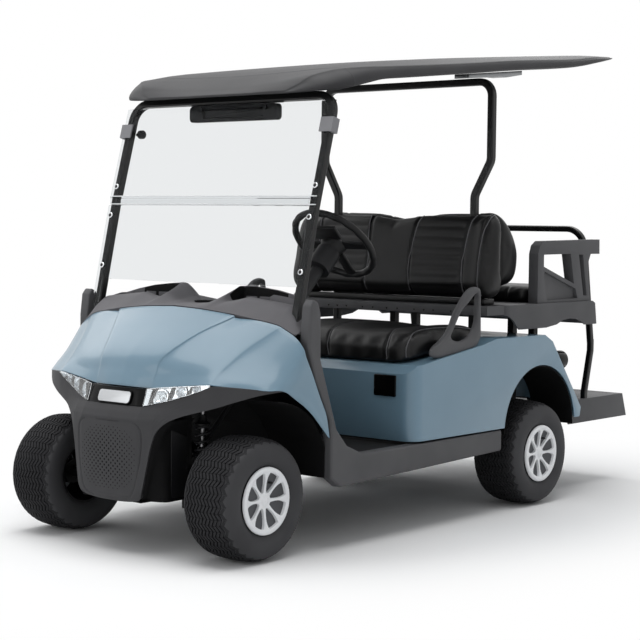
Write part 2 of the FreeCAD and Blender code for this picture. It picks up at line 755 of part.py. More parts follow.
def build_front_suspension():
    z = dim.tyre_radius
    pin = KINGPIN_X
    ear_low = z - dim.knuckle_height / 2 - dim.running_gap
    ear_high = z + dim.knuckle_height / 2 + dim.running_gap
    inner = pin - 70
    low = box("ear_low", (inner, pin + 18), (-20, 20), (ear_low - dim.ear_height, ear_low))
    high = box("ear_high", (inner, pin + 18), (-20, 20), (ear_high, ear_high + dim.ear_height))
    upright_z = (ear_low - dim.ear_height, ear_high + dim.ear_height)
    upright = box("upright", (inner, inner + 22), (-24, 24), upright_z)
    body = new_body("lower_arm")
    arm_in = CARRIER_X
    outline = [(inner + 2, -24), (inner + 2, 24), (arm_in, 104), (arm_in, -25)]
    pad(body, "XY", (ear_low - dim.ear_height, ear_low + 8), outline)
    arms = fuse("arm_left", [low, high, upright, body])
    node("front_arms", both_sides("front_arms", arms))
    base = ear_low + 8
    x = SHOCK_X
    bottom = rod("shock_eye", 12, 40, (x, 0, base), "z")
    damper = rod("damper", 20, 60, (x, 0, base + 36), "z")
    coil = rod("coil", 29, 196, (x, 0, base + 90), "z")
    stem = rod("stem", 9, dim.tower_bottom - (base + 280), (x, 0, base + 280), "z")
    shock = fuse("shock_left", [bottom, damper, coil, stem])
    node("front_shocks", both_sides("front_shocks", shock))


def build_knuckles():
    z = dim.tyre_radius
    pin = KINGPIN_X
    for side, name in ((1, "knuckle_left"), (-1, "knuckle_right")):
        boss = rod(name + "_boss", 17, dim.knuckle_height, (0, 0, -dim.knuckle_height / 2), "z")
        reach = dim.front_track / 2 - 20 - dim.running_gap - pin
        spindle = rod(name + "_spindle", dim.spindle_radius, reach, (0, 0, 0), "x")
        arm = box(name + "_arm", (-26, -14), (0, dim.steer_arm + 12), (-28, -12))
        web = box(name + "_web", (-26, 0), (-10, 10), (-28, -12))
        pieces = [boss, spindle, arm, web]
        whole = fuse(name + "_solid", pieces)
        if side < 0:
            whole = mirrored(name + "_mirror", whole)
        node(name, whole, side * pin, 0, z)


def build_rack():
    arm_top = dim.tyre_radius - 12
    rod_z = arm_top + dim.link_gap + dim.rack_rod
    eye_x = KINGPIN_X - 20
    bar = rod("rack_bar", dim.rack_rod, 2 * eye_x, (-eye_x, dim.steer_arm, rod_z), "x")
    node("steering_rack", group("steering_rack", [bar]))
    half_span = RAIL_X - 10
    housing = rod("rack_housing_tube", 22, 2 * half_span, (-half_span, dim.steer_arm, rod_z), "x")
    far = RAIL_X + 50
    bore = rod("rack_bore", dim.rack_rod + dim.running_gap, 2 * far, (-far, dim.steer_arm, rod_z), "x")
    half = dim.rail_width / 2
    bracket_s = (dim.steer_arm - 14, dim.steer_arm + 14)
    left = box("rack_bracket", (RAIL_X - half, RAIL_X + half), bracket_s, (rod_z - 14, dim.rail_bottom))
    pinion = rod("pinion_box", 24, 96, (PINION_X, dim.steer_arm, rod_z + 10), "z")
    joined = fuse("rack_housing_solid", [housing, pinion, left, mirrored("rack_bracket_right", left)])
    node("rack_housing", cut("rack_housing_cut", joined, [bore]))


def turned_along_column(piece, x, s, z):
    piece.Placement.Rotation = FreeCAD.Rotation(Vector(1, 0, 0), float(dim.column_angle) - 90)
    return place(piece, x, s, z)


def build_column():
    s, z = dim.wheel_centre_s, dim.wheel_centre_z
    reach = 700
    drop = reach * math.sqrt(0.5)
    hub_depth = 42
    jacket_rod = rod("jacket", dim.column_jacket, reach - hub_depth - dim.running_gap, (0, 0, 0), "z")
    jacket = turned_along_column(jacket_rod, dim.column_x, s - drop, z - drop)
    pinion_top = dim.tyre_radius - 12 + dim.link_gap + dim.rack_rod + 112
    inside = 8
    shaft = tube("lower_shaft", [(dim.column_x, s - drop + inside, z - drop + inside),
                                 (PINION_X, dim.steer_arm, pinion_top)], 1, None, 18, 18, 8)
    boot_rod = rod("boot", 46, 90, (0, 0, 0), "z")
    boot_share = (reach - hub_depth - 92) / reach
    boot_drop = drop * (1 - boot_share)
    boot = turned_along_column(boot_rod, dim.column_x, s - boot_drop, z - boot_drop)
    node("steering_column", fuse("steering_column", [jacket, shaft, boot]))
    ring = doc.addObject("Part::Torus", "wheel_ring")
    bind(ring, "Radius1", dim.rim_radius)
    bind(ring, "Radius2", dim.rim_section)
    hub = rod("wheel_hub", 44, hub_depth, (0, 0, -hub_depth), "z")
    plate = box("horn_plate", centred(62), (-34, 52), (-14, 4))
    holder = box("card_holder", centred(58), (-92, -34), (-12, -2))
    spokes = [
        box("spoke_left", (50, dim.rim_radius), (-15, 17), (-9, 3)),
        box("spoke_right", (-dim.rim_radius, -50), (-15, 17), (-9, 3)),
        box("spoke_low", centred(19), (44, dim.rim_radius), (-9, 3)),
    ]
    whole = fuse("steering_wheel_solid", [ring, hub, plate, holder] + spokes)
    node("steering_wheel", whole, dim.column_x, s, z)
    turn = FreeCAD.Rotation(Vector(1, 0, 0), float(dim.column_angle) - 90)
    whole.Placement = FreeCAD.Placement(whole.Placement.Base, turn)
    node("steering_wheel", whole, dim.column_x, s, z)


def build_pedals():
    pieces = []
    for name, x in (("brake", 235), ("drive", 345)):
        arm = box(name + "_arm", (x - 8, x + 8), (dim.toe_s, 316), (380, 560))
        plate = box(name + "_plate", (x - 32, x + 32), (316, 326), (372, 450))
        pieces.append(fuse(name + "_pedal", [arm, plate]))
    node("pedals", group("pedals", pieces))


def build_front_strut():
    half = STRUT_HALF
    foot = (dim.strut_foot_s, dim.strut_foot_z)
    kink = (dim.strut_kink_s, dim.strut_kink_z)
    head = (dim.strut_head_s, dim.strut_head_z)
    low_left = tube("strut_low", [(half, *foot), (half, *kink)], 1, (1, 0, 0), dim.strut_tube)
    low_right = mirrored("strut_low_right", low_left)
    lean = Vector(0, float(kink[0] - head[0]), float(kink[1] - head[1]))
    normal = Vector(1, 0, 0).cross(lean)
    over = [(half, *kink), (half, *head), (-half, *head), (-half, *kink)]
    arch = tube("strut_arch", over, 70, tuple(normal), dim.strut_tube)
    node("front_strut", fuse("front_strut", [low_left, low_right, arch]))


def sloped_sheet(name, low, high, half, gap, sheet_thick):
    """A flat sheet in front of the line from low to high."""
    run, rise = float(high[0] - low[0]), float(high[1] - low[1])
    length = math.hypot(run, rise)
    forward = Vector(0, -rise / length, run / length)
    slab = doc.addObject("Part::Box", name)
    slab.Length, slab.Width, slab.Height = 2 * float(half), float(sheet_thick), length
    turn = FreeCAD.Rotation(Vector(1, 0, 0), -math.degrees(math.atan2(run, rise)))
    base = Vector(-float(half), float(low[0]), float(low[1])) + forward * (float(gap) + float(sheet_thick))
    slab.Placement = FreeCAD.Placement(base, turn)
    return slab


def on_strut(z):
    """The distance behind the front axle of the strut's middle line at a height."""
    foot, kink, head = [(dim.strut_foot_s, dim.strut_foot_z), (dim.strut_kink_s, dim.strut_kink_z),
                        (dim.strut_head_s, dim.strut_head_z)]
    low, high = (foot, kink) if float(z) <= float(kink[1]) else (kink, head)
    share = (float(z) - float(low[1])) / (float(high[1]) - float(low[1]))
    return low[0] + (high[0] - low[0]) * share


def build_windscreen():
    gap = dim.strut_tube / 2 + dim.screen_gap
    reach = STRUT_HALF + dim.screen_overlap
    sheet_edge, rail_low, rail_high = 938, 1223, 1249
    lower = sloped_block("lower_sheet", centred(reach), (on_strut(sheet_edge), sheet_edge),
                         (on_strut(rail_low), rail_low), gap, dim.screen_sheet)
    low, high = (on_strut(818), 818), (on_strut(960), 960)
    ears = [sloped_block(f"ear_{name}", x, low, high, gap, dim.screen_sheet)
            for name, x in (("left", (reach - 32, reach)), ("right", (-reach, 32 - reach)))]
    low, high = (on_strut(rail_high), rail_high), (on_strut(1600), 1600)
    upper = sloped_block("upper_sheet", centred(reach), low, high, gap, dim.screen_sheet)
    node("windscreen_lower", fuse("windscreen_lower", [lower] + ears))
    node("windscreen_upper", group("windscreen_upper", [upper]))
    between = STRUT_HALF - dim.strut_tube / 2 - dim.running_gap
    foot = rail_low + dim.running_gap
    head = rail_high - dim.running_gap
    rail = sloped_block("screen_rail", centred(between), (on_strut(foot), foot), (on_strut(head), head),
                        gap - 2, dim.screen_sheet + 4)
    node("screen_rail", group("screen_rail", [rail]))
    outside = reach + 10
    low, high = (on_strut(1486), 1486), (on_strut(1538), 1538)
    low_gap, high_gap = (on_strut(1476), 1476), (on_strut(1548), 1548)
    clip = sloped_block("clip", (STRUT_HALF - 26, outside), low, high, -10, gap + dim.screen_sheet + 16)
    post = sloped_block("clip_post", (STRUT_HALF - 60, STRUT_HALF + 15.3), low_gap, high_gap, -40, 40 + gap)
    groove = sloped_block("clip_groove", (STRUT_HALF - 60, reach + 0.3), low_gap, high_gap, gap - 0.3,
                          dim.screen_sheet + 0.6)
    node("screen_clips", both_sides("screen_clips", cut("screen_clip", clip, [post, groove])))


def build_mirror():
    body = new_body("mirror")
    outline = mirror_points([(226, 1596), (200, 1608)]) + mirror_points([(-200, 1544), (-226, 1556)])
    pad(body, "XZ", (412, 436), outline)
    hangers = [box(f"hanger_{side}", (side * 173 - 8, side * 173 + 8), (404, 412), (1570, 1606.6))
               for side in (-1, 1)]
    node("mirror", fuse("mirror_all", [body] + hangers))


def build_canopy():
    body = new_body("canopy")
    loft(body, "Additive", "XZ", [
        canopy_section(303, 375, 1630, (345, 1636), (200, 1637), 1638),
        canopy_section(352, 505, 1640, (420, 1703), (280, 1706), 1708),
        canopy_section(400, 548, 1652, (480, 1712), (340, 1724), 1730),
        canopy_section(450, 567, 1664, (522, 1719), (390, 1739), 1750),
        canopy_section(520, 573, 1680, (548, 1728), (420, 1756), 1770),
        canopy_section(620, 575, 1696, (560, 1738), (440, 1772), 1788),
        canopy_section(800, 575, 1716, (565, 1757), (450, 1795), 1812),
        canopy_section(1153, 575, 1755, (565, 1794), (450, 1824), 1840),
        canopy_section(1500, 575, 1793, (565, 1831), (450, 1853), 1868),
        canopy_section(1903, 575, 1836, (565, 1867), (450, 1888), 1900),
        canopy_section(2120, 570, 1874, (558, 1896), (440, 1908), 1915),
        canopy_section(dim.canopy_rear, 545, 1908, (532, 1911), (420, 1915), dim.canopy_top),
    ], ruled=True)
    far = dim.body_half + 20
    under = [
        (280, 1400), (280, 1626), (dim.canopy_front, dim.canopy_front_z), (399, 1642), (470, 1659),
        (598, 1690), (1153, 1752), (1903, 1832), (2060, 1858), (2320, 1904), (2320, 1400),
    ]
    pocket(body, "YZ", centred(far), under)
    recess = [
        (500, 1600), (540, 1742), (620, 1758), (800, 1781), (1153, 1810), (1500, 1839), (1903, 1874),
        (2120, 1893), (2160, 1870), (2160, 1600),
    ]
    pocket(body, "YZ", centred(wide(415)), recess)
    node("canopy", body)
    outline = [
        (1240, 1761), (1620, 1801.4), (1620, 1784), (1510, dim.rear_strut_top), (1466, dim.rear_strut_top),
        (1240, 1744),
    ]
    bracket = prism("bracket", "YZ", (REAR_STRUT_HALF - 15, REAR_STRUT_HALF + 57), outline)
    node("canopy_brackets", both_sides("canopy_brackets", bracket))


def build_rear_strut():
    s = dim.rear_strut_s
    low, half = dim.rear_strut_low_half, REAR_STRUT_HALF
    head, foot = dim.rear_strut_top - dim.strut_tube / 2, dim.rear_rail_bottom + 15
    climb = [(low, s, foot), (low, s, 1285), (half, s, 1428), (half, s, head)]
    down = [(-x, at, z) for x, at, z in reversed(climb)]
    arch = tube("rear_strut_tube", climb + down, 60, (0, 1, 0), dim.strut_tube)
    node("rear_strut", group("rear_strut", [arch]))


def hinge_barrels(name, s, z):
    """Round hinge pieces under a seat cushion, on the line it lifts about."""
    left = rod(name, dim.hinge_radius, 60, (240, s, z), "x")
    return [left, mirrored(name + "_right", left)]


def build_front_seat():
    gap = dim.running_gap
    outline = [
        (dim.cushion_front, dim.pod_top + 0.3 + gap), (dim.cushion_front, 690), (836, 722), (896, 746),
        (1060, dim.cushion_top), (1290, 758), (dim.cushion_rear, 735),
        (dim.cushion_rear, dim.deck_top + gap), (1235, 690 + gap),
    ]
    cushion = prism("front_cushion", "YZ", centred(CUSHION_HALF), outline)
    hinge_z = dim.deck_top + dim.hinge_radius + 1
    barrels = hinge_barrels("front_barrel", dim.cushion_rear, hinge_z)
    node("front_cushion", fuse("front_cushion_solid", [cushion] + barrels))
    outline = [
        (1366, 900), (1366, 930), (1396, 1110), (1430, 1196), (1448, dim.backrest_top - 4),
        (1462, dim.backrest_top), (1472.7, 1212), (1472.7, dim.backrest_bottom),
        (1392, dim.backrest_bottom),
    ]
    node("front_backrest", prism("front_backrest", "YZ", centred(BACKREST_HALF), outline))
    channel_z = (dim.tray_top, dim.backrest_bottom - gap)
    channel = box("seatback_channel", centred(BACKREST_HALF - 60), (1400, 1472.7), channel_z)
    node("seatback_frame", group("seatback_frame", [channel]))


def build_rear_seat():
    gap = dim.running_gap
    outline = [
        (1503.3, 905), (1503.3, 1222), (1530, 1224), (1560, 1212), (1612, 1158), (1645, 1110), (1669, 1050),
        (1668, 990), (1658, 930), (1635, 905),
    ]
    node("rear_backrest", prism("rear_backrest", "YZ", centred(REAR_BACKREST_HALF), outline))
    front = dim.rear_cushion_front
    outline = [
        (front, dim.tray_top + gap), (front, 885), (1722, 900), (1780, 908), (2000, 905), (2055, 892),
        (2080, 862), (2075, dim.tray_top + gap),
    ]
    cushion = prism("rear_cushion", "YZ", centred(REAR_CUSHION_HALF), outline)
    hinge_z = dim.tray_top + dim.hinge_radius + 1
    barrels = hinge_barrels("rear_barrel", front, hinge_z)
    node("rear_cushion", fuse("rear_cushion_solid", [cushion] + barrels))


def build_hip_restraints():
    """Moulded loops beside the front seat that stand on the rear body's shoulder."""
    outline = [
        (890, 600), (905, 655), (935, 690), (1085, 812), (1200, 912), (1232, 927), (1260, 914), (1270, 870),
        (1268, 700), (1250, 640),
    ]
    window = [(1010, 714), (1150, 722), (1205, 716), (1228, 735), (1234, 893), (1214, 896), (1085, 790)]
    body = prism("hip_loop", "YZ", HIP_SPAN, outline)
    pocket(body, "YZ", HIP_SPAN, window)
    seated = cut("hip_loop_seated", body, [pod_solid()])
    node("hip_restraints", both_sides("hip_restraints", seated))


def build_rear_tray():
    wall = dim.tray_wall
    outline = [
        (1470, 790), (1500, 772), (1520, 752), (1545, dim.tray_bottom), (1745, dim.tray_bottom),
        (1829, 746), (1875, 762), (1939, 768), (1995, 762), (2038, 748), (2060, dim.tray_bottom),
        (dim.tray_rear, dim.tray_bottom), (2141, 828), (2120, dim.tray_top),
        (dim.tray_front, dim.tray_top), (dim.tray_front, 800),
    ]
    body = prism("rear_tray", "YZ", centred(TRAY_HALF), outline)
    front_limit = float(dim.tray_front) + 1
    fillet(body, 26, lambda edge: edge.BoundBox.XLength < 1 and edge.BoundBox.YMax < front_limit)
    under = dim.tray_top - wall
    inner = [(1474, 600), (1474, under), (2110, under), (2130, 800), (2146, 600)]
    pocket(body, "YZ", centred(TRAY_HALF - wall), inner)
    front = box("tray_front", centred(TRAY_HALF - 14), (1325, 1474), (800, 836))
    hollow = box("tray_front_hollow", centred(TRAY_HALF - 22), (1333, 1466), (790, 828))
    slot = dim.strut_tube + 2
    x, s = dim.rear_strut_low_half, dim.rear_strut_s
    posts = []
    for side in (-1, 1):
        around = (side * x - slot / 2, side * x + slot / 2)
        posts.append(box(f"tray_slot_{side}", around, (s - slot / 2, s + slot / 2), (700, 900)))
    lug = box("tray_lug", (BAR_HALF - 18, BAR_HALF + 18), (2146, 2216), (754, 790))
    solid = fuse("rear_tray_solid", [body, cut("tray_front_shell", front, [hollow]), lug,
                                     mirrored("tray_lug_right", lug)])
    clearance = bar_loop("tray_bar_clearance", 2 * dim.running_gap)
    node("rear_tray", cut("rear_tray_cut", solid, posts + [clearance]))


def build_rear_arms():
    inside = ARM_X - dim.arm_thick
    x = (inside, ARM_X)
    outline = [
        (1690, dim.tray_top), (1690, 1046), (1703, 1080), (1735, 1099), (2184, dim.arm_top), (2186, 1042),
        (2112, 1042), (2090, 1000), (2112, dim.tray_top),
    ]
    body = prism("rear_arm", "YZ", x, outline)
    pocket(body, "YZ", x, [(1735, 1042), (1947, 1044), (1978, 915), (1735, 992)])
    pocket(body, "YZ", x, [(2014, 1040), (2048, 1040), (2084, 862), (2056, 862)])
    recess = (ARM_X - dim.arm_recess, ARM_X)
    pocket(body, "YZ", recess, [(1762, 848), (1735, 960), (1742, 972), (1990, 894), (2008, 852)])
    fillet(body, 16, lambda edge: edge.BoundBox.XLength > float(dim.arm_thick) - 1
           and edge.BoundBox.YMax < 1740 and edge.BoundBox.ZMin > 1045)
    clamp = box("arm_clamp", (BAR_HALF - 16, inside), (2128, 2186), (1044, 1100))
    clearance = bar_loop("bar_clearance", 2 * dim.running_gap)
    arm = cut("rear_arm_clamp", fuse("rear_arm_side", [body, clamp]), [clearance])
    node("rear_arms", both_sides("rear_arms", arm))


def build_rear_seat_frame():
    """Posts from the chassis to the rear seat's tray, with rails under the tray."""
    posts = []
    x = (dim.rear_rail_x - 15, dim.rear_rail_x + 15)
    rail_top = dim.rear_rail_bottom + dim.rail_height
    for s in (1850, 2015):
        posts.append(box(f"seat_post_{s}", x, (s - 15, s + 15), (rail_top, 790)))
    posts.append(box("seat_rail", x, (1600, 2110), (790, dim.tray_top - dim.tray_wall)))
    node("rear_seat_frame", both_sides("rear_seat_frame", fuse("rear_seat_frame_side", posts)))


def bar_loop(name, extra):
    """The upright loop of the grab bar, or the room it needs."""
    half, kink, top = BAR_HALF, (dim.bar_kink_s, 640), (dim.bar_top_s, dim.bar_top)
    lean = Vector(0, float(kink[0] - top[0]), float(kink[1] - top[1]))
    across = tuple(Vector(1, 0, 0).cross(lean))
    points = [(half, *kink), (half, *top), (-half, *top), (-half, *kink)]
    return tube(name, points, 80, across, dim.bar_tube + extra)


def build_grab_bar():
    half = BAR_HALF
    foot = dim.step_top + dim.running_gap
    kink, foot_s = dim.bar_kink_s, 2184
    path = [(half, kink, 660), (half, kink, 610), (half, foot_s, foot + 26), (half, foot_s, foot)]
    leg = tube("bar_leg", path, 12, (1, 0, 0), dim.bar_tube)
    node("grab_bar", fuse("grab_bar", [bar_loop("bar_upper", 0), leg, mirrored("bar_leg_right", leg)]))


def build_footrest():
    body = new_body("footrest")
    half = STEP_HALF
    rear_end = REAR_AXLE + dim.rear_overhang
    front, top = dim.step_front, dim.step_top
    outline = [(front, dim.step_bottom), (front, top), (2500, top), (rear_end, dim.step_bottom)]
    pad(body, "YZ", centred(half), outline)
    wall = dim.step_wall
    inner = [(front - 20, 200), (front - 20, top - wall), (2495, top - wall), (rear_end - wall, 200)]
    pocket(body, "YZ", centred(half - wall), inner)
    holes = [rod("step_hole", dim.step_hole, 40, (side * STEP_HOLE_X, s, dim.step_top - 20), "z")
             for side in (-1, 1) for s in (dim.step_hole_s, dim.step_hole_s + dim.step_hole_gap)]
    node("footrest", cut("footrest_cut", body, holes))
    x = (dim.rear_rail_x - 22, dim.rear_rail_x + 22)
    beam = box("step_beam", x, (dim.rail_end, 2420), (340, dim.step_top - wall))
    node("footrest_brackets", both_sides("footrest_brackets", beam))


def build_wheels():
    half = dim.tyre_width / 2
    tyre_outline = [
        (-88, dim.bead_radius), (88, dim.bead_radius), (100, 130), (half, 165), (104, 190), (88, 208),
        (50, dim.tyre_radius), (-50, dim.tyre_radius), (-88, 208), (-104, 190), (-half, 165), (-100, 130),
    ]
    bead, wall = dim.bead_radius, dim.rim_wall
    wheel_outline = [
        (-20, 0), (-20, dim.hub_radius), (18, dim.hub_radius), (18, bead - wall), (-88, bead - wall),
        (-88, bead), (88, bead), (101, dim.cover_radius), (108, dim.cover_radius), (108, 103), (105, 99),
        (94, 32), (97, 26), (98, 0),
    ]
    corners = {
        "front_left": (dim.front_track / 2, 0, 1),
        "front_right": (-dim.front_track / 2, 0, -1),
        "rear_left": (dim.rear_track / 2, REAR_AXLE, 1),
        "rear_right": (-dim.rear_track / 2, REAR_AXLE, -1),
    }
    windows = cover_windows()
    for corner, (x, s, side) in corners.items():
        tyre = revolve(new_body(f"tyre_{corner}"), tyre_outline)
        wheel = cut(f"wheel_{corner}_cut", revolve(new_body(f"wheel_{corner}"), wheel_outline), windows)
        for kind, piece in (("tyre", tyre), ("wheel", wheel)):
            if side < 0:
                piece.Placement = FreeCAD.Placement(Vector(), FreeCAD.Rotation(Vector(0, 0, 1), 180))
            node(f"{kind}_{corner}", piece, x, s, dim.tyre_radius)


def build_tail():
    lamp = rod("tail_lamp", 40, 80, (TAIL_LAMP_X, 1815, 592), "y")
    node("tail_lamps", both_sides("tail_lamps", cut("tail_lamp_seated", lamp, [pod_solid()])))
    cover_x = (dim.body_half - 187, dim.body_half - 82)
    cover = box("charge_cover", cover_x, (dim.pod_front - 8, dim.pod_front), (512, 594))
    node("charge_cover", group("charge_cover", [cover]))


build_frame_rails()
build_floor()
build_rockers()
build_cowl()
build_bumper()
build_lamps()
build_dash()
build_rear_body()
build_battery()
build_rear_axle()
build_front_suspension()
build_knuckles()
build_rack()
build_column()
build_pedals()
build_front_strut()
build_windscreen()
build_mirror()
build_canopy()
build_rear_strut()
build_front_seat()
build_rear_seat()
build_hip_restraints()
build_rear_tray()
build_rear_arms()
build_rear_seat_frame()
build_grab_bar()
build_footrest()
build_wheels()
build_tail()

doc.recompute()
for thing in doc.Objects:
    if "Invalid" in thing.State or "Error" in thing.State:
        raise RuntimeError(f"{thing.Label} did not build: {thing.State}")
for name, thing in nodes.items():
    if thing.Shape.isNull() or not thing.Shape.isValid():
        raise RuntimeError(f"{name} has no valid shape")

os.makedirs("parts", exist_ok=True)
for name, thing in nodes.items():
    thing.Shape.exportStep(f"parts/{name}.step")
    print(name, len(thing.Shape.Solids), round(thing.Shape.Volume / 1e6, 3))
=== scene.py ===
import json
import math

import bmesh
import bpy
from mathutils import Matrix, Vector


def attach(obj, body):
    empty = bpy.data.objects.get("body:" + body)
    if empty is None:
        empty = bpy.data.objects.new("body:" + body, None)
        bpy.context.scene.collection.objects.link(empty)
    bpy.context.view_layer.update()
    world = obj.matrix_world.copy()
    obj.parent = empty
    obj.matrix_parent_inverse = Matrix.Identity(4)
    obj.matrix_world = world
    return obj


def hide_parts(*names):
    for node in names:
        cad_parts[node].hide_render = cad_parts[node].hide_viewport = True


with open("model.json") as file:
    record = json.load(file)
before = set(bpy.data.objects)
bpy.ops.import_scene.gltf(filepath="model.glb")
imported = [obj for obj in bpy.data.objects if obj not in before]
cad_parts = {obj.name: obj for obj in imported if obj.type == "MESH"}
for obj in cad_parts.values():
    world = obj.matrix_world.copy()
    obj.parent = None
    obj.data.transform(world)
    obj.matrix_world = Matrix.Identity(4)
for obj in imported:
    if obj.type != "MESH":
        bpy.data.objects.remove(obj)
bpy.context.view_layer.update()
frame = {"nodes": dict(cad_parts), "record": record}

MM = 0.001
FRONT_AXLE_Y = -1.153  # in metres; the sizes below are in millimetres
WHEELBASE = 1670
WHEEL_HEIGHT = 216
FRONT_HALF_TRACK, REAR_HALF_TRACK = 450, 490
TINY = 0.01  # the radius in millimetres that stands for a point on the axis


def at(x, s, z):
    """A point in metres from x, the distance behind the front axle and the height, in mm."""
    return Vector((x * MM, s * MM + FRONT_AXLE_Y, z * MM))


def place_of(point):
    """The x, the distance behind the front axle and the height in mm of a point in metres."""
    return point.x / MM, (point.y - FRONT_AXLE_Y) / MM, point.z / MM


# ---- modelling helpers ----

def deselect():
    """Leaves edit mode and selects nothing."""
    if bpy.context.object and bpy.context.object.mode != "OBJECT":
        bpy.ops.object.mode_set(mode="OBJECT")
    bpy.ops.object.select_all(action="DESELECT")


def take(piece):
    """Makes the piece the only selected object."""
    deselect()
    bpy.context.view_layer.objects.active = piece
    piece.select_set(True)
    return piece


def settle(piece):
    """Puts the piece's place, turn and size into its mesh."""
    take(piece)
    bpy.ops.object.transform_apply(location=True, rotation=True, scale=True)
    return piece


def modify(piece, kind, **settings):
    """Adds a modifier and applies it."""
    take(piece)
    modifier = piece.modifiers.new(kind.lower(), kind)
    for name, value in settings.items():
        setattr(modifier, name, value)
    bpy.ops.object.modifier_apply(modifier=modifier.name)
    return piece


def subdivide(piece):
    """Rounds the piece by one level of subdivision."""
    return modify(piece, "SUBSURF", levels=1, render_levels=1)


def shade(piece, angle=35):
    """Shades the piece smooth, apart from edges sharper than an angle in degrees."""
    take(piece)
    bpy.ops.object.shade_smooth_by_angle(angle=math.radians(angle))
    return piece


def bevel(piece, width, segments=3, angle=30):
    """Rounds the edges sharper than an angle; the width is in millimetres."""
    modify(piece, "BEVEL", width=width * MM, segments=segments, limit_method="ANGLE",
           angle_limit=math.radians(angle), harden_normals=False)
    return shade(piece, 40)


def edit(piece, keep=None, kind="VERT"):
    """Enters edit mode with the vertices, edges or faces that a rule keeps selected, or all."""
    take(piece)
    bpy.ops.object.mode_set(mode="EDIT")
    bpy.ops.mesh.select_mode(type=kind)
    bpy.ops.mesh.select_all(action="SELECT" if keep is None else "DESELECT")
    if keep is not None:
        mesh = bmesh.from_edit_mesh(piece.data)
        for part in {"VERT": mesh.verts, "EDGE": mesh.edges, "FACE": mesh.faces}[kind]:
            part.select = bool(keep(part))
        if kind == "VERT":
            mesh.select_flush_mode()
        bmesh.update_edit_mesh(piece.data)


def leave():
    """Leaves edit mode."""
    bpy.ops.object.mode_set(mode="OBJECT")


def close_up(piece, reach=1e-5):
    """Merges vertices nearer than a reach in metres and turns every face outwards."""
    edit(piece)
    if reach:
        bpy.ops.mesh.remove_doubles(threshold=reach)
    bpy.ops.mesh.normals_make_consistent(inside=False)
    leave()
    return piece


def shift(piece, keep, step):
    """Moves the vertices that a rule keeps by a step in millimetres."""
    edit(piece, keep)
    bpy.ops.transform.translate(value=Vector(step) * MM)
    leave()
    return piece


def round_corners(piece, radius):
    """Rounds the edges that run from front to back, and stays in edit mode."""
    edit(piece, lambda one: abs(one.verts[0].co.y - one.verts[1].co.y) > 1e-3, "EDGE")
    bpy.ops.mesh.bevel(offset=radius * MM, segments=6)


def join(name, pieces):
    """Joins pieces into one."""
    deselect()
    for piece in pieces:
        piece.select_set(True)
    bpy.context.view_layer.objects.active = pieces[0]
    if len(pieces) > 1:
        bpy.ops.object.join()
    whole = bpy.context.view_layer.objects.active
    whole.name = name
    return whole


def copy_of(piece, name, change):
    """A copy with its own mesh, whose points are moved by a rule."""
    twin = piece.copy()
    twin.data = piece.data.copy()
    twin.name = name
    bpy.context.collection.objects.link(twin)
    for vertex in twin.data.vertices:
        vertex.co = change(vertex.co)
    return twin


def other_side(piece, name):
    """The piece's mirror image on the vehicle's other side."""
    twin = copy_of(piece, name, lambda co: Vector((-co.x, co.y, co.z)))
    edit(twin)
    bpy.ops.mesh.flip_normals()
    leave()
    return twin


def mirrored(piece):
    """Adds the right half to a piece's left half, over the vehicle's middle."""
    modify(piece, "MIRROR", use_axis=(True, False, False), use_mirror_merge=True,
           merge_threshold=1e-4)
    return close_up(piece)


def cube(name, low, high):
    """A plain box between two corners in metres."""
    deselect()
    bpy.ops.mesh.primitive_cube_add(size=1, location=(low + high) / 2)
    piece = bpy.context.object
    piece.name = name
    piece.scale = high - low
    return settle(piece)


def block(name, x, s, z, width=2.0, segments=3):
    """A box between two x, two s and two z in millimetres, with rounded edges."""
    piece = cube(name, at(x[0], s[0], z[0]), at(x[1], s[1], z[1]))
    return bevel(piece, width, segments) if width else piece


def cone(sides, radii, depth, place, rotation):
    """A cone's stump with two radii and a depth in millimetres, about a place in metres."""
    deselect()
    bpy.ops.mesh.primitive_cone_add(vertices=sides, radius1=radii[0] * MM, radius2=radii[1] * MM,
                                    depth=depth * MM, location=place, rotation=rotation)
    return bpy.context.object


def rod(name, start, end, radius, sides):
    """A round bar between two points in metres, with its rims broken; the radius is in mm."""
    along = end - start
    piece = cone(sides, (radius, radius), along.length / MM, (start + end) / 2,
                 along.to_track_quat("Z", "Y").to_euler())
    piece.name = name
    settle(piece)
    return bevel(piece, 0.6, 2, 50)


def spline(a, b, c, d, t):
    """The point at a share t of the way from b to c, on the smooth curve through four points."""
    return ((b * 2) + (c - a) * t + (a * 2 - b * 5 + c * 4 - d) * t ** 2
            + (b * 3 - a - c * 3 + d) * t ** 3) / 2


def through(points, count):
    """Points evenly placed along a smooth line through the given points."""
    ends = [points[0] * 2 - points[1]] + list(points) + [points[-1] * 2 - points[-2]]
    made = []
    spans = len(points) - 1
    for index in range(count):
        place = index * spans / (count - 1)
        span = min(int(place), spans - 1)
        made.append(spline(*ends[span:span + 4], place - span))
    return made


def smooth_loop(outline, count):
    """A closed smooth loop of points through a side outline of (s, z) pairs."""
    loop = [Vector((0, s, z)) for s, z in outline]
    ends = [loop[-1]] + loop + loop[:2]
    made = []
    for index in range(count):
        place = index * len(loop) / count
        span = int(place)
        made.append(spline(*ends[span:span + 4], place - span))
    return made


def between(table, value):
    """Reads a table of (value, result) pairs, in a straight line between its rows."""
    if value <= table[0][0]:
        return table[0][1]
    for (low, first), (high, second) in zip(table, table[1:]):
        if value <= high:
            return first + (second - first) * (value - low) / (high - low)
    return table[-1][1]


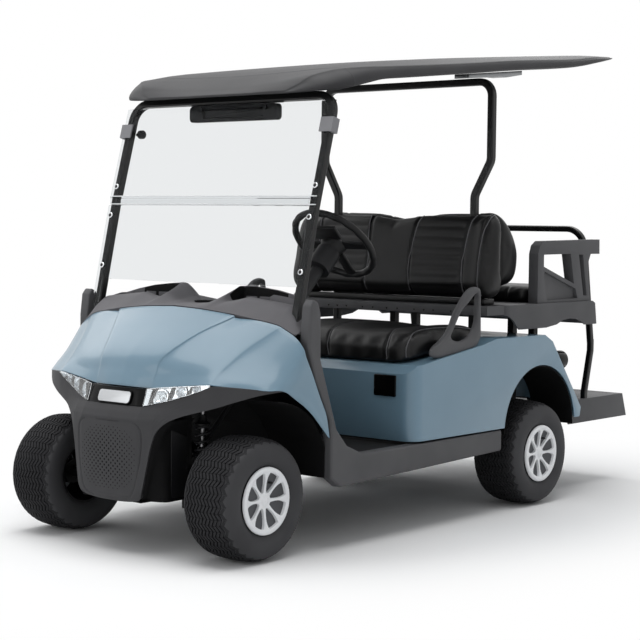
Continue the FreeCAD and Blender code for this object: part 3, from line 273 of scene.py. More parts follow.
def skin(name, rows, closed=False, caps=False):
    """A sheet through rows of points, shaped from a grid; closed joins each row's two ends."""
    deselect()
    across, along = len(rows[0]), len(rows)
    bpy.ops.mesh.primitive_grid_add(x_subdivisions=across - 1 + closed,
                                    y_subdivisions=along - 1, size=1)
    piece = bpy.context.object
    piece.name = name
    piece.location = (0, 0, 0)
    points = [point for row in rows for point in (row + row[:1] if closed else row)]
    for vertex, point in zip(piece.data.vertices, points):
        vertex.co = point
    if closed:
        close_up(piece)
    if caps:
        mesh = bmesh.new()
        mesh.from_mesh(piece.data)
        bmesh.ops.holes_fill(mesh, edges=[edge for edge in mesh.edges if edge.is_boundary])
        bmesh.ops.recalc_face_normals(mesh, faces=mesh.faces)
        mesh.to_mesh(piece.data)
        mesh.free()
    return piece


def turned(name, outline, centre, axis, steps):
    """A closed outline of (distance along the axis, radius) pairs in mm, spun about an axis."""
    axis = Vector(axis)
    up = Vector((0, 0, 1)) if abs(axis.z) < 0.5 else Vector((1, 0, 0))
    up = (up - axis * up.dot(axis)).normalized()
    deselect()
    bpy.ops.mesh.primitive_circle_add(vertices=len(outline), radius=1)
    piece = bpy.context.object
    piece.name = name
    for vertex, (along, radius) in zip(piece.data.vertices, outline):
        vertex.co = centre + axis * along * MM + up * radius * MM
    edit(piece)
    bpy.ops.mesh.spin(steps=steps, angle=2 * math.pi, center=centre, axis=axis)
    return close_up(piece, 1e-6)


def ring_tube(name, points, radius, sides=10, closed=False):
    """A round wire through a line of points."""
    rows = []
    count = len(points)
    side = None
    for index, point in enumerate(points):
        before = points[index - 1 if index or closed else 0]
        after = points[(index + 1) % count if closed or index + 1 < count else index]
        along = (after - before).normalized()
        if side is None:
            side = along.orthogonal().normalized()
        side = (side - along * side.dot(along)).normalized()
        up = along.cross(side)
        rows.append([point + (side * math.cos(turn) + up * math.sin(turn)) * radius * MM
                     for turn in (step * 2 * math.pi / sides for step in range(sides))])
    piece = skin(name, rows + (rows[:1] if closed else []), closed=True, caps=not closed)
    return close_up(piece)


def softened(node, name, width, segments):
    """A CAD node's copy with its flat faces made whole and its edges rounded."""
    piece = bpy.data.objects.new(name, frame["nodes"][node].data.copy())
    bpy.context.collection.objects.link(piece)
    piece.data.materials.clear()
    edit(piece)
    bpy.ops.mesh.remove_doubles(threshold=2e-5)
    bpy.ops.mesh.dissolve_limited(angle_limit=math.radians(1.5))
    leave()
    return bevel(piece, width, segments, 28)


def paint(piece, *materials):
    """Gives the piece its materials, the first of them on every face."""
    for material in materials:
        piece.data.materials.append(MATERIALS[material])
    return piece


def finish(piece, material, body="chassis", replaces=()):
    """Gives a piece its material, the body it rides on and the CAD nodes it stands for."""
    settle(piece)
    if len(piece.data.materials) == 0:
        paint(piece, material)
    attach(piece, body)
    if replaces:
        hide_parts(*replaces)
    return piece


def finish_pair(piece, angle, material, replaces=()):
    """Finishes a left piece and its mirror image; the left one stands for the CAD nodes."""
    twin = other_side(piece, piece.name.replace("_left", "_right"))
    finish(shade(piece, angle), material, replaces=replaces)
    finish(shade(twin, angle), material)


# ---- camera, floor and light ----

CAMERA_PLACE = (4.304, -5.354, 1.178)
CAMERA_YAW, CAMERA_PITCH, CAMERA_ROLL = -39.97, -3.45, 0.6
LENS_MM = 93.4
LAMPS = {
    # Each lamp's place in metres, power in watts and size in metres.
    "key": ((-4.6, -0.6, 4.8), 72, 4.5),
    "front": ((-1.6, -6.2, 1.9), 36, 3.0),
    "fill": ((3.6, -5.4, 3.0), 9, 4.0),
    "side": ((6.0, 1.5, 3.4), 9, 4.0),
    "rear": ((-1.0, 5.5, 4.5), 75, 4.0),
    "top": ((0.0, -0.6, 5.8), 230, 5.0),
}
LAMPS_AIM = (0, 0, 0.8)
SKY_STRENGTH = 0.44
FLOOR_DROP = 0.001
SHADOW_ENDS, WHITE_STARTS = 1.15, 2.3


def place_camera():
    """The photograph's view: from the front left of the vehicle, at chest height."""
    yaw, pitch, roll = map(math.radians, (CAMERA_YAW, CAMERA_PITCH, CAMERA_ROLL))
    forward = Vector((math.sin(yaw) * math.cos(pitch), math.cos(yaw) * math.cos(pitch),
                      math.sin(pitch)))
    level = Vector((math.cos(yaw), -math.sin(yaw), 0))
    upright = level.cross(forward)
    right = level * math.cos(roll) + upright * math.sin(roll)
    up = upright * math.cos(roll) - level * math.sin(roll)
    bpy.ops.object.camera_add(location=CAMERA_PLACE)
    camera = bpy.context.object
    turn = Matrix((right, up, -forward)).transposed().to_4x4()
    camera.matrix_world = Matrix.Translation(camera.location) @ turn
    camera.data.sensor_width = 36
    camera.data.lens = LENS_MM
    bpy.context.scene.camera = camera


def linear(code):
    """Turns an sRGB hex colour into linear light."""
    channels = [int(code[i:i + 2], 16) / 255 for i in (1, 3, 5)]
    return [c / 12.92 if c <= 0.04045 else ((c + 0.055) / 1.055) ** 2.4 for c in channels] + [1.0]


def add(tree, kind, sockets=None, **settings):
    """Adds a node with its settings, its sockets' values and its links."""
    made = tree.nodes.new(kind)
    for name, value in settings.items():
        setattr(made, name, value)
    dial(tree, made, sockets or {})
    return made


def dial(tree, node, sockets):
    """Links a node's sockets to other nodes' outputs, or sets their values."""
    for name, value in sockets.items():
        if isinstance(value, bpy.types.NodeSocket):
            tree.links.new(value, node.inputs[name])
        else:
            node.inputs[name].default_value = value


def coordinates(tree):
    """The object's own coordinates."""
    return add(tree, "ShaderNodeTexCoord").outputs["Object"]


def seen_straight(tree):
    """1 for what the camera sees, straight, mirrored or through a clear sheet; 0 for light."""
    path = add(tree, "ShaderNodeLightPath").outputs
    straight = add(tree, "ShaderNodeMath", {0: path["Is Camera Ray"], 1: path["Is Glossy Ray"]},
                   operation="MAXIMUM")
    return add(tree, "ShaderNodeMath", {0: straight.outputs[0], 1: path["Is Transmission Ray"]},
               operation="MAXIMUM").outputs[0]


def place_world():
    """White all round for the camera, and an even soft sky for light."""
    world = bpy.data.worlds.new("studio")
    bpy.context.scene.world = world
    world.use_nodes = True
    tree = world.node_tree
    tree.nodes.clear()
    white = add(tree, "ShaderNodeBackground", {"Color": linear("#FFFFFF"), "Strength": 1.0})
    sky = {"Color": linear("#F4F6F8"), "Strength": SKY_STRENGTH}
    soft = add(tree, "ShaderNodeBackground", sky)
    mixed = add(tree, "ShaderNodeMixShader",
                {0: seen_straight(tree), 1: soft.outputs[0], 2: white.outputs[0]})
    add(tree, "ShaderNodeOutputWorld", {"Surface": mixed.outputs[0]})


def place_floor():
    """White paper that takes the shadow near the vehicle and is plain white further out."""
    bpy.ops.mesh.primitive_plane_add(size=80, location=(0, 0, -FLOOR_DROP))
    floor = bpy.context.object
    floor.name = "studio_floor"
    paper, tree, shader = new_material("matt_white_paper")
    dial(tree, shader, {"Roughness": 0.95, "Specular IOR Level": 0.0,
                        "Base Color": linear("#FCFCFC")})
    stretch = add(tree, "ShaderNodeVectorMath", {0: coordinates(tree), 1: (1.35, 0.8, 1.0)},
                  operation="MULTIPLY")
    away = add(tree, "ShaderNodeVectorMath", {0: stretch.outputs[0]}, operation="LENGTH")
    far = add(tree, "ShaderNodeMapRange",
              {"Value": away.outputs["Value"], "From Min": SHADOW_ENDS, "From Max": WHITE_STARTS},
              interpolation_type="SMOOTHSTEP")
    lit = add(tree, "ShaderNodeMath", {0: far.outputs[0], 1: seen_straight(tree)},
              operation="MULTIPLY")
    white = add(tree, "ShaderNodeEmission", {"Color": linear("#FFFFFF"), "Strength": 1.0})
    mixed = add(tree, "ShaderNodeMixShader",
                {0: lit.outputs[0], 1: shader.outputs[0], 2: white.outputs[0]})
    dial(tree, tree.nodes["Material Output"], {"Surface": mixed.outputs[0]})
    floor.data.materials.append(paper)


def place_lamps():
    """Large soft lamps round the vehicle, all aimed at its middle."""
    for name, (place, power, size) in LAMPS.items():
        bpy.ops.object.light_add(type="AREA", location=place)
        lamp = bpy.context.object
        lamp.name = f"lamp_{name}"
        lamp.data.energy = power
        lamp.data.size = size
        towards = Vector(LAMPS_AIM) - Vector(place)
        lamp.rotation_euler = towards.to_track_quat("-Z", "Y").to_euler()


# ---- materials ----

PATCH_MM = 180
ROUGHNESS_DRIFT = 0.06
GRAIN_DEPTH = 0.0004
COAT_ROUGHNESS = 0.12


def new_material(name):
    """A new material, its node tree and its shader."""
    made = bpy.data.materials.new(name)
    made.use_nodes = True
    return made, made.node_tree, made.node_tree.nodes["Principled BSDF"]


def grained(name, light, dark, roughness, grain_mm, bump, coat=0.0, metallic=0.0, specular=0.5):
    """A finish whose colour drifts a little over the piece and whose surface has a fine grain."""
    made, tree, shader = new_material(name)
    place = coordinates(tree)
    patch = add(tree, "ShaderNodeTexNoise",
                {"Vector": place, "Scale": 1000 / PATCH_MM, "Detail": 2.0})
    colour = add(tree, "ShaderNodeValToRGB", {"Fac": patch.outputs["Fac"]})
    for stop, share, code in zip(colour.color_ramp.elements, (0.3, 0.7), (dark, light)):
        stop.position = share
        stop.color = linear(code)
    grain = add(tree, "ShaderNodeTexNoise",
                {"Vector": place, "Scale": 1000 / grain_mm, "Detail": 3.0})
    rough = add(tree, "ShaderNodeMapRange",
                {"Value": grain.outputs["Fac"], "To Min": roughness - ROUGHNESS_DRIFT,
                 "To Max": roughness + ROUGHNESS_DRIFT})
    relief = add(tree, "ShaderNodeBump",
                 {"Height": grain.outputs["Fac"], "Strength": bump, "Distance": GRAIN_DEPTH})
    dial(tree, shader, {
        "Base Color": colour.outputs["Color"], "Roughness": rough.outputs[0],
        "Normal": relief.outputs["Normal"], "Metallic": metallic, "Coat Weight": coat,
        "Coat Roughness": COAT_ROUGHNESS, "Specular IOR Level": specular,
    })
    return made


def clear_plastic(name, tint, index=1.49):
    """A clear, slightly tinted sheet or moulding."""
    made, tree, shader = new_material(name)
    dial(tree, shader, {"Base Color": linear(tint), "Roughness": 0.02, "Transmission Weight": 1.0,
                        "IOR": index})
    return made


MATERIALS = {
    # Satin metallic car paint sprayed on a moulded shell: an even blue grey with a clear, slightly
    # soft gloss.
    "body_paint": grained("satin_metallic_paint", "#6F8C9E", "#6B889A", 0.34, 1.2, 0.01, coat=0.5,
                          specular=0.3),
    # Textured polypropylene mouldings: mid grey, matt, with a fine leather-like grain that breaks
    # the highlights.
    "dark_plastic": grained("grained_polypropylene", "#545456", "#4C4C4E", 0.58, 1.6, 0.35,
                            specular=0.25),
    # The bumper skin: the same moulding, painted a darker grey as shade against the front lamp.
    "bumper_plastic": grained("bumper_skin_painted_shade", "#3B3B3D", "#343436", 0.58, 1.6, 0.35,
                              specular=0.25),
    # The dash's moulding: the same plastic, lit from above, so its grain reads paler.
    "dash_plastic": grained("grained_dash_moulding", "#6A696C", "#605F62", 0.62, 1.6, 0.35,
                            specular=0.2),
    # The same plastic under the nose and in the wheel arches, black and duller.
    # It also serves as painted shade: in the grille's dimples, the tray's holes and the dash's
    # trays.
    "liner_plastic": grained("black_liner_and_painted_shade", "#101011", "#0B0B0C", 0.7, 2.4, 0.4,
                             specular=0.12),
    # Black moulded nylon: a dull sheen and softly rounded edges.
    "black_plastic": grained("black_moulded_nylon", "#1D1D1F", "#161618", 0.5, 1.4, 0.25,
                             specular=0.22),
    # Pale grey moulded clips round the screen's posts.
    "clip_plastic": grained("grey_moulded_clip", "#858588", "#7A7A7D", 0.5, 1.5, 0.2,
                            specular=0.3),
    # Thermoformed roof sheet: charcoal, with the faint orange peel of the forming tool.
    "canopy_plastic": grained("thermoformed_roof_sheet", "#333335", "#2B2B2D", 0.52, 1.6, 0.3,
                              specular=0.25),
    # Polished ABS: nearly black with sharp reflections.
    "gloss_black": grained("polished_black_abs", "#060607", "#040405", 0.16, 1.2, 0.02,
                           specular=0.12),
    # Injection-moulded clear polycarbonate of the lamps.
    "lamp_lens": clear_plastic("clear_polycarbonate_lens", "#F8FBFC"),
    # Cast acrylic sheet: clear, with a slight grey cast against white. Its index is set low,
    # because a sheet this thin shows hardly any reflection in the photograph.
    "clear_sheet": clear_plastic("clear_acrylic_sheet", "#EAECED", index=1.12),
    # Powder-coated steel frame: black with a fine orange peel.
    "chassis_steel": grained("black_powder_coated_steel", "#0F0F10", "#0A0A0B", 0.5, 0.9, 0.2,
                             specular=0.2),
    # Satin powder coat on the roof's tubes: a soft highlight runs along each tube.
    "strut_coat": grained("satin_black_powder_coat", "#0C0C0D", "#080809", 0.34, 0.8, 0.12,
                          specular=0.3),
    # Ground and oiled steel of rods and springs.
    "spring_steel": grained("ground_steel", "#8A8A8C", "#7C7C7E", 0.32, 0.8, 0.05, metallic=1.0),
    # Painted iron casting of the axle: black with a sandy surface.
    "cast_axle": grained("painted_iron_casting", "#161617", "#0F0F10", 0.6, 2.5, 0.5,
                         specular=0.2),
    # Mill-finish aluminium of the roof's brackets: pale, with a fine drawn grain.
    "bracket_alloy": grained("mill_finish_aluminium", "#8E9092", "#828486", 0.4, 0.9, 0.08,
                             metallic=1.0),
    # Polypropylene battery cases, black and dull.
    "battery_case": grained("moulded_battery_case", "#1B1B1C", "#141415", 0.5, 1.5, 0.2,
                            specular=0.2),
    # Moulded floor rubber, matt and slightly mottled by wear.
    "floor_mat": grained("ribbed_floor_rubber", "#1B1B1C", "#131314", 0.75, 2.0, 0.4,
                         specular=0.12),
    # Soft over-moulded rubber of the steering wheel's rim.
    "grip_rubber": grained("soft_grip_rubber", "#141415", "#0F0F10", 0.5, 1.2, 0.3, specular=0.25),
    # Marine vinyl over foam: near black, with a fine hide grain and a low sheen. Its grain of
    # about 1 mm is drawn at 1.8 mm, so that it shows.
    "seat_vinyl": grained("grained_seat_vinyl", "#0F0F10", "#0A0A0B", 0.46, 1.8, 0.45, coat=0.05,
                          specular=0.25),
    # The piping's vinyl: smoother than the covers it edges, and painted greyer as its sheen.
    "piping_vinyl": grained("grey_piping_vinyl", "#5E5E61", "#555558", 0.4, 1.0, 0.05,
                            specular=0.3),
    # Moulded tyre rubber: charcoal, matt, greyer on the bulging wall.
    "tyre": grained("tyre_rubber", "#424244", "#38383A", 0.66, 1.5, 0.4, specular=0.2),
    # The tread's blocks, a little darker and rougher than the wall.
    "tread": grained("tread_rubber", "#2C2C2E", "#222224", 0.72, 1.5, 0.4, specular=0.15),
    # Silver paint under lacquer on the wheel covers.
    "wheel_silver": grained("silver_wheel_paint", "#EDEEF0", "#E4E6E9", 0.28, 0.8, 0.04, coat=0.5),
    # The unlit grey plastic at the bottom of the wheel covers' windows.
    "wheel_recess": grained("grey_wheel_recess", "#5A5B5E", "#4B4C4F", 0.55, 1.2, 0.1,
                            specular=0.2),
    # Vacuum-metallised reflectors: bright and smooth.
    "chrome": grained("metallised_reflector", "#E8EAEC", "#DADCDF", 0.12, 2.0, 0.05, metallic=1.0),
    # The bare plate where the real vehicle has its badge: satin silver foil.
    "plate_grey": grained("bare_satin_plate", "#C9CBCD", "#BFC1C4", 0.32, 0.8, 0.05, metallic=0.5),
    # Clear vinyl seals on the screen's edges, which look white where the light comes through along
    # them.
    "seal_white": grained("clear_vinyl_seal", "#F2F3F4", "#EAECED", 0.4, 1.0, 0.05, specular=0.3),
    # Black oxide on screws: dark and dry.
    "bolt_black": grained("black_oxide_bolt", "#161617", "#101011", 0.4, 0.6, 0.1, specular=0.3),
}


def paint_cad_nodes():
    """Gives each CAD node the finish of its slot in the record."""
    slots = {part["node"]: part["material_slot"] for part in frame["record"]["subparts"]}
    for name, piece in frame["nodes"].items():
        piece.data.materials.clear()
        piece.data.materials.append(MATERIALS[slots[name]])


# ---- bonnet, roof and body panels ----

HOLLOW_FRONT, HOLLOW_REAR = 480, 2200
ROOF_THICKNESS = 26


def make_bonnet():
    """The painted front cowl: raised middle, shoulders and the wings down to their tips."""
    lines = [
        [(0, -168, 587), (0, -146, 640), (0, -108, 703), (0, 0, 786), (0, 97, 858)],
        [(75, -163, 586), (78, -142, 637), (84, -106, 700), (110, 0, 783), (142, 97, 852)],
        [(133, -151, 585), (138, -132, 634), (148, -104, 694), (206, 0, 774), (284, 108, 838)],
        [(151, -148, 586), (156, -128, 630), (165, -101, 683), (223, 0, 764), (302, 110, 828)],
        [(240, -133, 597), (247, -112, 628), (262, -80, 674), (310, 15, 750), (380, 118, 824)],
        [(330, -114, 606), (335, -92, 632), (345, -58, 668), (377, 25, 738), (438, 128, 816)],
        [(373, -106, 610), (377, -82, 633), (387, -44, 666), (417, 32, 728), (480, 138, 806)],
        [(392, -100, 608), (397, -76, 628), (408, -38, 657), (437, 36, 716), (496, 142, 798)],
        [(480, -52, 601), (484, -38, 616), (492, -8, 640), (514, 58, 690), (549, 150, 768)],
        [(552, -6, 595), (554, 6, 605), (558, 28, 622), (569, 84, 662), (582, 154, 732)],
        [(587, 44, 592), (588, 54, 598), (589, 72, 610), (590, 112, 640), (588, 162, 700)],
        [(588, 100, 563), (590, 110, 571), (590, 128, 582), (590, 160, 612), (588, 196, 640)],
        [(587, 180, 513), (590, 188, 521), (590, 200, 532), (590, 218, 552), (587, 240, 556)],
        [(586, 245, 455), (588, 250, 462), (588, 256, 470), (588, 264, 480), (586, 276, 490)],
        [(585, 288, 412), (586, 290, 414), (586, 291, 415), (586, 293, 414), (585, 296, 409)],
    ]
    fine = [through([at(*point) for point in line], 34) for line in lines]
    piece = mirrored(skin("bonnet", [through(row, 90) for row in zip(*fine)]))
    modify(piece, "SOLIDIFY", thickness=4.5 * MM, offset=-1.0, use_even_offset=True)
    finish(bevel(piece, 1.2, 2, 60), "body_paint", replaces=["front_cowl"])


def make_canopy():
    """The moulded roof: a low crowned top, a turned-down rim and a hollow underside."""
    stations = [
        # s, half width, under side, rim, crease, shoulder, crown
        (303, 375, 1629, 1630, (345, 1636), (200, 1637), 1638),
        (325, 460, 1633, 1637, (400, 1664), (250, 1659), 1652),
        (352, 507, 1637, 1641, (437, 1693), (300, 1682), 1670),
        (400, 545, 1642, 1650, (490, 1713), (345, 1708), 1696),
        (438, 562, 1651, 1658, (518, 1721), (385, 1724), 1714),
        (450, 564, 1654, 1661, (524, 1723), (392, 1729), 1719),
        (520, 573, 1671, 1680, (548, 1731), (420, 1746), 1740),
        (620, 575, 1693, 1697, (559, 1740), (440, 1761), 1759),
        (800, 575, 1713, 1717, (564, 1757), (450, 1782), 1786),
        (1153, 575, 1752, 1756, (564, 1793), (450, 1817), 1826),
        (1500, 575, 1791, 1795, (564, 1831), (450, 1850), 1863),
        (1903, 574, 1832, 1838, (564, 1867), (450, 1888), 1900),
        (2120, 570, 1869, 1874, (558, 1895), (440, 1908), 1915),
        (2289, 546, 1900, 1903, (532, 1909), (420, 1914), 1917),
    ]
    rows = []
    for s, half, under, low, crease, shoulder, crown in stations:
        deep = HOLLOW_FRONT < s < HOLLOW_REAR
        roof = crown - ROOF_THICKNESS if deep else under + 1
        rise = crease[1] - low
        fall = (shoulder[1] - crease[1]) / (crease[0] - shoulder[0])
        side = [
            (0, roof), (half * 0.35, roof - 1), (half * 0.66, roof - (9 if deep else 0)),
            (half - 160, under + 0.5), (half - 40, under), (half - 7, under),
            (half, low + 2), (half - 1, low + rise * 0.35),
            (half - (half - crease[0]) * 0.4, low + rise * 0.72),
            (crease[0] + 1.5, crease[1] - 5), crease,
            (crease[0] - 9, crease[1] + 9 * fall + 0.5),
            ((crease[0] + shoulder[0]) / 2, (crease[1] + shoulder[1]) / 2 + 2.5),
            shoulder,
            (shoulder[0] * 0.55, crown - (crown - shoulder[1]) * 0.32), (0, crown),
        ]
        whole = side + [(-x, z) for x, z in reversed(side[1:-1])]
        rows.append([at(x, s, z) for x, z in whole])
    columns = [through(column, 84) for column in zip(*rows)]
    piece = skin("roof", [list(loop) for loop in zip(*columns)], closed=True, caps=True)
    subdivide(piece)
    finish(shade(piece, 60), "canopy_plastic", replaces=["canopy"])


def round_the_panels():
    """The moulded panels whose sharp CAD edges are rounded as the mould leaves them."""
    plan = {
        "rear_body": ("body_paint", 16, 4), "rocker_panels": ("dark_plastic", 6, 3),
        "rear_tray": ("dark_plastic", 5, 3), "rear_arms": ("dark_plastic", 5, 3),
        "footrest": ("dark_plastic", 5, 3),
        "lamp_panel": ("gloss_black", 1.5, 2),
        "charge_cover": ("gloss_black", 5, 3), "tail_lamps": ("gloss_black", 8, 4),
        "canopy_brackets": ("bracket_alloy", 2, 2), "seatback_frame": ("strut_coat", 2, 2),
    }
    for node, (material, width, segments) in plan.items():
        piece = softened(node, f"{node}_rounded", width, segments)
        finish(piece, material, replaces=[node])


# ---- wheels and tyres ----

TREAD_PITCHES = 30
TREAD_ROWS = (-96, -80, -64, -48, -32, -16, 0, 16, 32, 48, 64, 80, 96)
TREAD_DEPTH = 8.0
SPOKES = 8
SPOKE_PITCH = 360 / SPOKES
WINDOW_LOW, WINDOW_HIGH = 29, 98.5
WINDOW_DEPTH = 11
VALVE_RADIUS, VALVE_TURN = 66, 24
ORIGIN = Vector()
ALONG_X, ALONG_Z = (1, 0, 0), (0, 0, 1)


def tread_radius(across):
    """The tread's radius in millimetres at a distance from the tyre's middle."""
    return 216 - 3.0 * (abs(across) / 60) ** 2 - 9.0 * (max(abs(across) - 62, 0) / 34) ** 2


def on_rim(along, radius, turn):
    """A point in metres at a distance along the axle, a radius and a turn in radians."""
    return Vector((along, radius * math.sin(turn), radius * math.cos(turn))) * MM


def tread_block(low, high, start, leans):
    """One slanted block of a zigzag rib between two distances across, drafted to its face."""
    half = math.pi / TREAD_PITCHES
    lean, groove_width, gap = 13.5, 4.4, half * 0.05
    first, last = (0, lean) if leans else (lean, 0)
    turns = (start + gap / 2, start + half - gap / 2)
    outline = [(low + first, turns[0]), (low + last, turns[1]),
               (high - groove_width + last, turns[1]), (high - groove_width + first, turns[0])]
    ring = [(-1, -1), (1, -1), (1, 1), (-1, 1)]
    middle = sum(across for across, turn in outline) / 4
    centre = (turns[0] + turns[1]) / 2
    piece = cube("tread_block", Vector((-1, -1, -1)), Vector((1, 1, 1)))
    for vertex in piece.data.vertices:
        across, turn = outline[ring.index((round(vertex.co.x), round(vertex.co.y)))]
        top = vertex.co.z > 0
        across = middle + (across - middle) * (0.88 if top else 1.0)
        turn = centre + (turn - centre) * (0.99 if top else 1)
        vertex.co = on_rim(across, tread_radius(across) - (0.0 if top else TREAD_DEPTH), turn)
    return piece


def make_tyre(name):
    """Golf tyre: a smooth bulging wall and twelve zigzag ribs cut into slanted blocks."""
    outline = [
        (88, 112), (100, 127), (105.5, 145), (107.3, 163), (106, 178), (102, 191), (99.5, 195),
        (96, 199), (88, 203), (60, 206.5), (0, 208.5), (-60, 206.5), (-88, 203), (-96, 199),
        (-99.5, 195), (-102, 191), (-106, 178), (-107.3, 163), (-105.5, 145), (-100, 127),
        (-88, 112), (-84, 110), (84, 110),
    ]
    wall = shade(paint(turned(f"{name}_wall", outline, ORIGIN, ALONG_X, 96), "tyre"), 50)
    pitch = 2 * math.pi / TREAD_PITCHES
    blocks = [tread_block(low - 5, high - 5, part * pitch / 2, part == 0)
              for low, high in zip(TREAD_ROWS, TREAD_ROWS[1:]) for part in (0, 1)]
    tread = settle(join(f"{name}_tread", blocks))
    edit(tread)
    bpy.ops.mesh.spin(steps=TREAD_PITCHES - 1, dupli=True, angle=2 * math.pi - pitch,
                      center=(0, 0, 0), axis=ALONG_X)
    return join(name, [wall, paint(close_up(tread, 0), "tread")])


def spoke_edge(radius, side):
    """How far in degrees a spoke's edge lies from its middle line; one side is more flared."""
    table = ((0, 20), (24, 20), (29, 16), (36, 9.5), (50, 5.6), (62, 4.6), (75, 5.0), (86, 6.4),
             (93, 8.0), (98.5, 10.0), (120, 10))
    return between(table, radius) * (1.0 if side > 0 else 0.78)


def in_window(face):
    """Whether a face of the wheel's cover lies in a window between two spokes."""
    spot = face.calc_center_median() / MM
    radius = math.hypot(spot.y, spot.z)
    degrees = math.degrees(math.atan2(spot.y, spot.z)) % SPOKE_PITCH
    near, far = spoke_edge(radius, 1), SPOKE_PITCH - spoke_edge(radius, -1)
    return WINDOW_LOW < radius < WINDOW_HIGH and near < degrees < far


def wheel_face(name):
    """The dished cover as a skin of rings, with its windows sunk and painted grey."""
    rings = [(0.5, 99), (7, 98.6), (12, 97.2), (16, 95), (20, 93.6), (25, 93.4), (29, 94),
             (33, 94.6), (42, 95.8), (52, 97.2), (62, 98.6), (72, 100.2), (82, 102.2), (90, 104),
             (95, 105.4), (98.5, 106.2), (100, 106.6), (102.5, 107.8), (106, 108.4),
             (110, 108.4), (114, 107.6), (117, 105), (118, 99)]
    shares = (0, 0.18, 0.5, 0.82, 1)
    rows = []
    for radius, along in rings:
        near, far = spoke_edge(radius, 1), SPOKE_PITCH - spoke_edge(radius, -1)
        steps = [0, near * 0.55] + [near + (far - near) * share for share in shares]
        rows.append([on_rim(along, radius, math.radians(spoke * SPOKE_PITCH + degrees))
                     for spoke in range(SPOKES) for degrees in steps])
    cover = paint(skin(name, rows, closed=True), "wheel_silver", "wheel_recess")
    edit(cover, in_window, "FACE")
    bpy.ops.mesh.extrude_region_move(TRANSFORM_OT_translate={"value": (-WINDOW_DEPTH * MM, 0, 0)})
    cover.active_material_index = 1
    bpy.ops.object.material_slot_assign()
    close_up(cover, 0)
    if cover.data.polygons[0].normal.x < 0:
        edit(cover)
        bpy.ops.mesh.flip_normals()
        leave()
    return bevel(cover, 0.9, 2, 40)


def make_wheel(name):
    """Painted wheel with a dished cover: eight flared spokes over grey recesses, and a hub."""
    bead = [(-88, 104), (-88, 112), (-80, 109), (0, 106), (80, 109), (88, 112), (92, 113),
            (92, 104), (80, 102), (0, 99), (-80, 102)]
    hub = [(-20, TINY), (-20, 45), (60, 45), (80, 30), (84, TINY)]
    stem = [(88, TINY), (88, 4.2), (104, 4.2), (106, 3.2), (106, TINY)]
    barrel = turned(f"{name}_barrel", bead, ORIGIN, ALONG_X, 72)
    boss = turned(f"{name}_boss", hub, ORIGIN, ALONG_X, 36)
    cover = wheel_face(f"{name}_cover")
    for piece in (barrel, boss):
        paint(shade(piece, 40), "chassis_steel")
    valve_place = on_rim(0, VALVE_RADIUS, math.radians(VALVE_TURN))
    valve = paint(turned(f"{name}_valve", stem, valve_place, ALONG_X, 12), "bolt_black")
    return join(name, [cover, barrel, boss, valve])


def place_wheels():
    """Copies the made tyre and wheel to the four corners, with the covers outwards."""
    made = {"tyre": (make_tyre("tyre_tread"), "tyre"),
            "wheel": (make_wheel("wheel_cover"), "wheel_silver")}
    corners = {
        "front_left": (FRONT_HALF_TRACK, 0), "front_right": (-FRONT_HALF_TRACK, 0),
        "rear_left": (REAR_HALF_TRACK, WHEELBASE), "rear_right": (-REAR_HALF_TRACK, WHEELBASE),
    }
    for corner, (x, s) in corners.items():
        move = Matrix.Translation(at(x, s, WHEEL_HEIGHT)) @ Matrix.Rotation(
            math.pi if x < 0 else 0, 4, "Z")
        for kind, (piece, material) in made.items():
            piece = copy_of(piece, f"{kind}_{corner}_full", lambda co, move=move: move @ co)
            finish(shade(piece, 45), material, f"wheel_{corner}", replaces=[f"{kind}_{corner}"])
    for piece, _ in made.values():
        bpy.data.objects.remove(piece)


# ---- seats ----

VOXEL_MM = 9
AIR_PRESSURE = 3.0
CLOTH_FRAMES = 12
END_SHARES = (0, 0.06, 0.15, 0.3, 0.5, 0.75, 1.0)
INNER_SHARES = (0.9, 0.78, 0.66, 0.54, 0.42, 0.3, 0.2, 0.1, 0)


def cushion_blank(name, half, outline, end_radius, shape):
    """A padded block: a side outline carried across the seat and drawn in towards both ends."""
    middle = sum((Vector((0, s, z)) for s, z in outline), Vector()) / len(outline)
    loop = smooth_loop(outline, 44)
    inner = half - end_radius
    right = [(inner + end_radius * math.cos(share * math.pi / 2),
              0.55 + 0.45 * math.sin(share * math.pi / 2)) for share in END_SHARES]
    right += [(inner * share, 1.0) for share in INNER_SHARES]
    rows = []
    for x, size in right + [(-x, size) for x, size in reversed(right[:-1])]:
        spots = [middle + (point - middle) * size for point in loop]
        rows.append([at(x, *(shape(x, spot.y, spot.z) if shape else (spot.y, spot.z)))
                     for spot in spots])
    return skin(name, rows, closed=True, caps=True)


def inflate(piece, cap):
    """Blows the piece up as a sewn cover over foam is, by no more than a cap in millimetres."""
    modify(piece, "REMESH", mode="VOXEL", voxel_size=VOXEL_MM * MM)
    modify(piece, "SMOOTH", factor=0.5, iterations=3)
    start = [vertex.co.copy() for vertex in piece.data.vertices]
    take(piece)
    cloth = piece.modifiers.new("cover", "CLOTH").settings
    cloth.use_pressure = True
    cloth.uniform_pressure_force = AIR_PRESSURE
    cloth.effector_weights.gravity = 0
    cloth.quality = 4
    cloth.tension_stiffness = 25
    cloth.compression_stiffness = 25
    scene = bpy.context.scene
    for number in range(1, CLOTH_FRAMES + 1):
        scene.frame_set(number)
    take(piece)
    bpy.ops.object.modifier_apply(modifier="cover")
    scene.frame_set(1)
    for vertex, was in zip(piece.data.vertices, start):
        moved = vertex.co - was
        if moved.length > cap * MM:
            vertex.co = was + moved * (cap * MM / moved.length)
    return modify(piece, "SMOOTH", factor=0.5, iterations=2)


def press(piece, rule):
    """Moves each point along its normal by what a rule gives in millimetres."""
    normals = [vertex.normal.copy() for vertex in piece.data.vertices]
    for vertex, normal in zip(piece.data.vertices, normals):
        vertex.co += normal * rule(*place_of(vertex.co), normal) * MM
    return piece


def groove(distance, width, depth):
    """How far a soft groove sinks the surface at a distance from its line, in millimetres."""
    return -depth * math.exp(-(distance / width) ** 2)


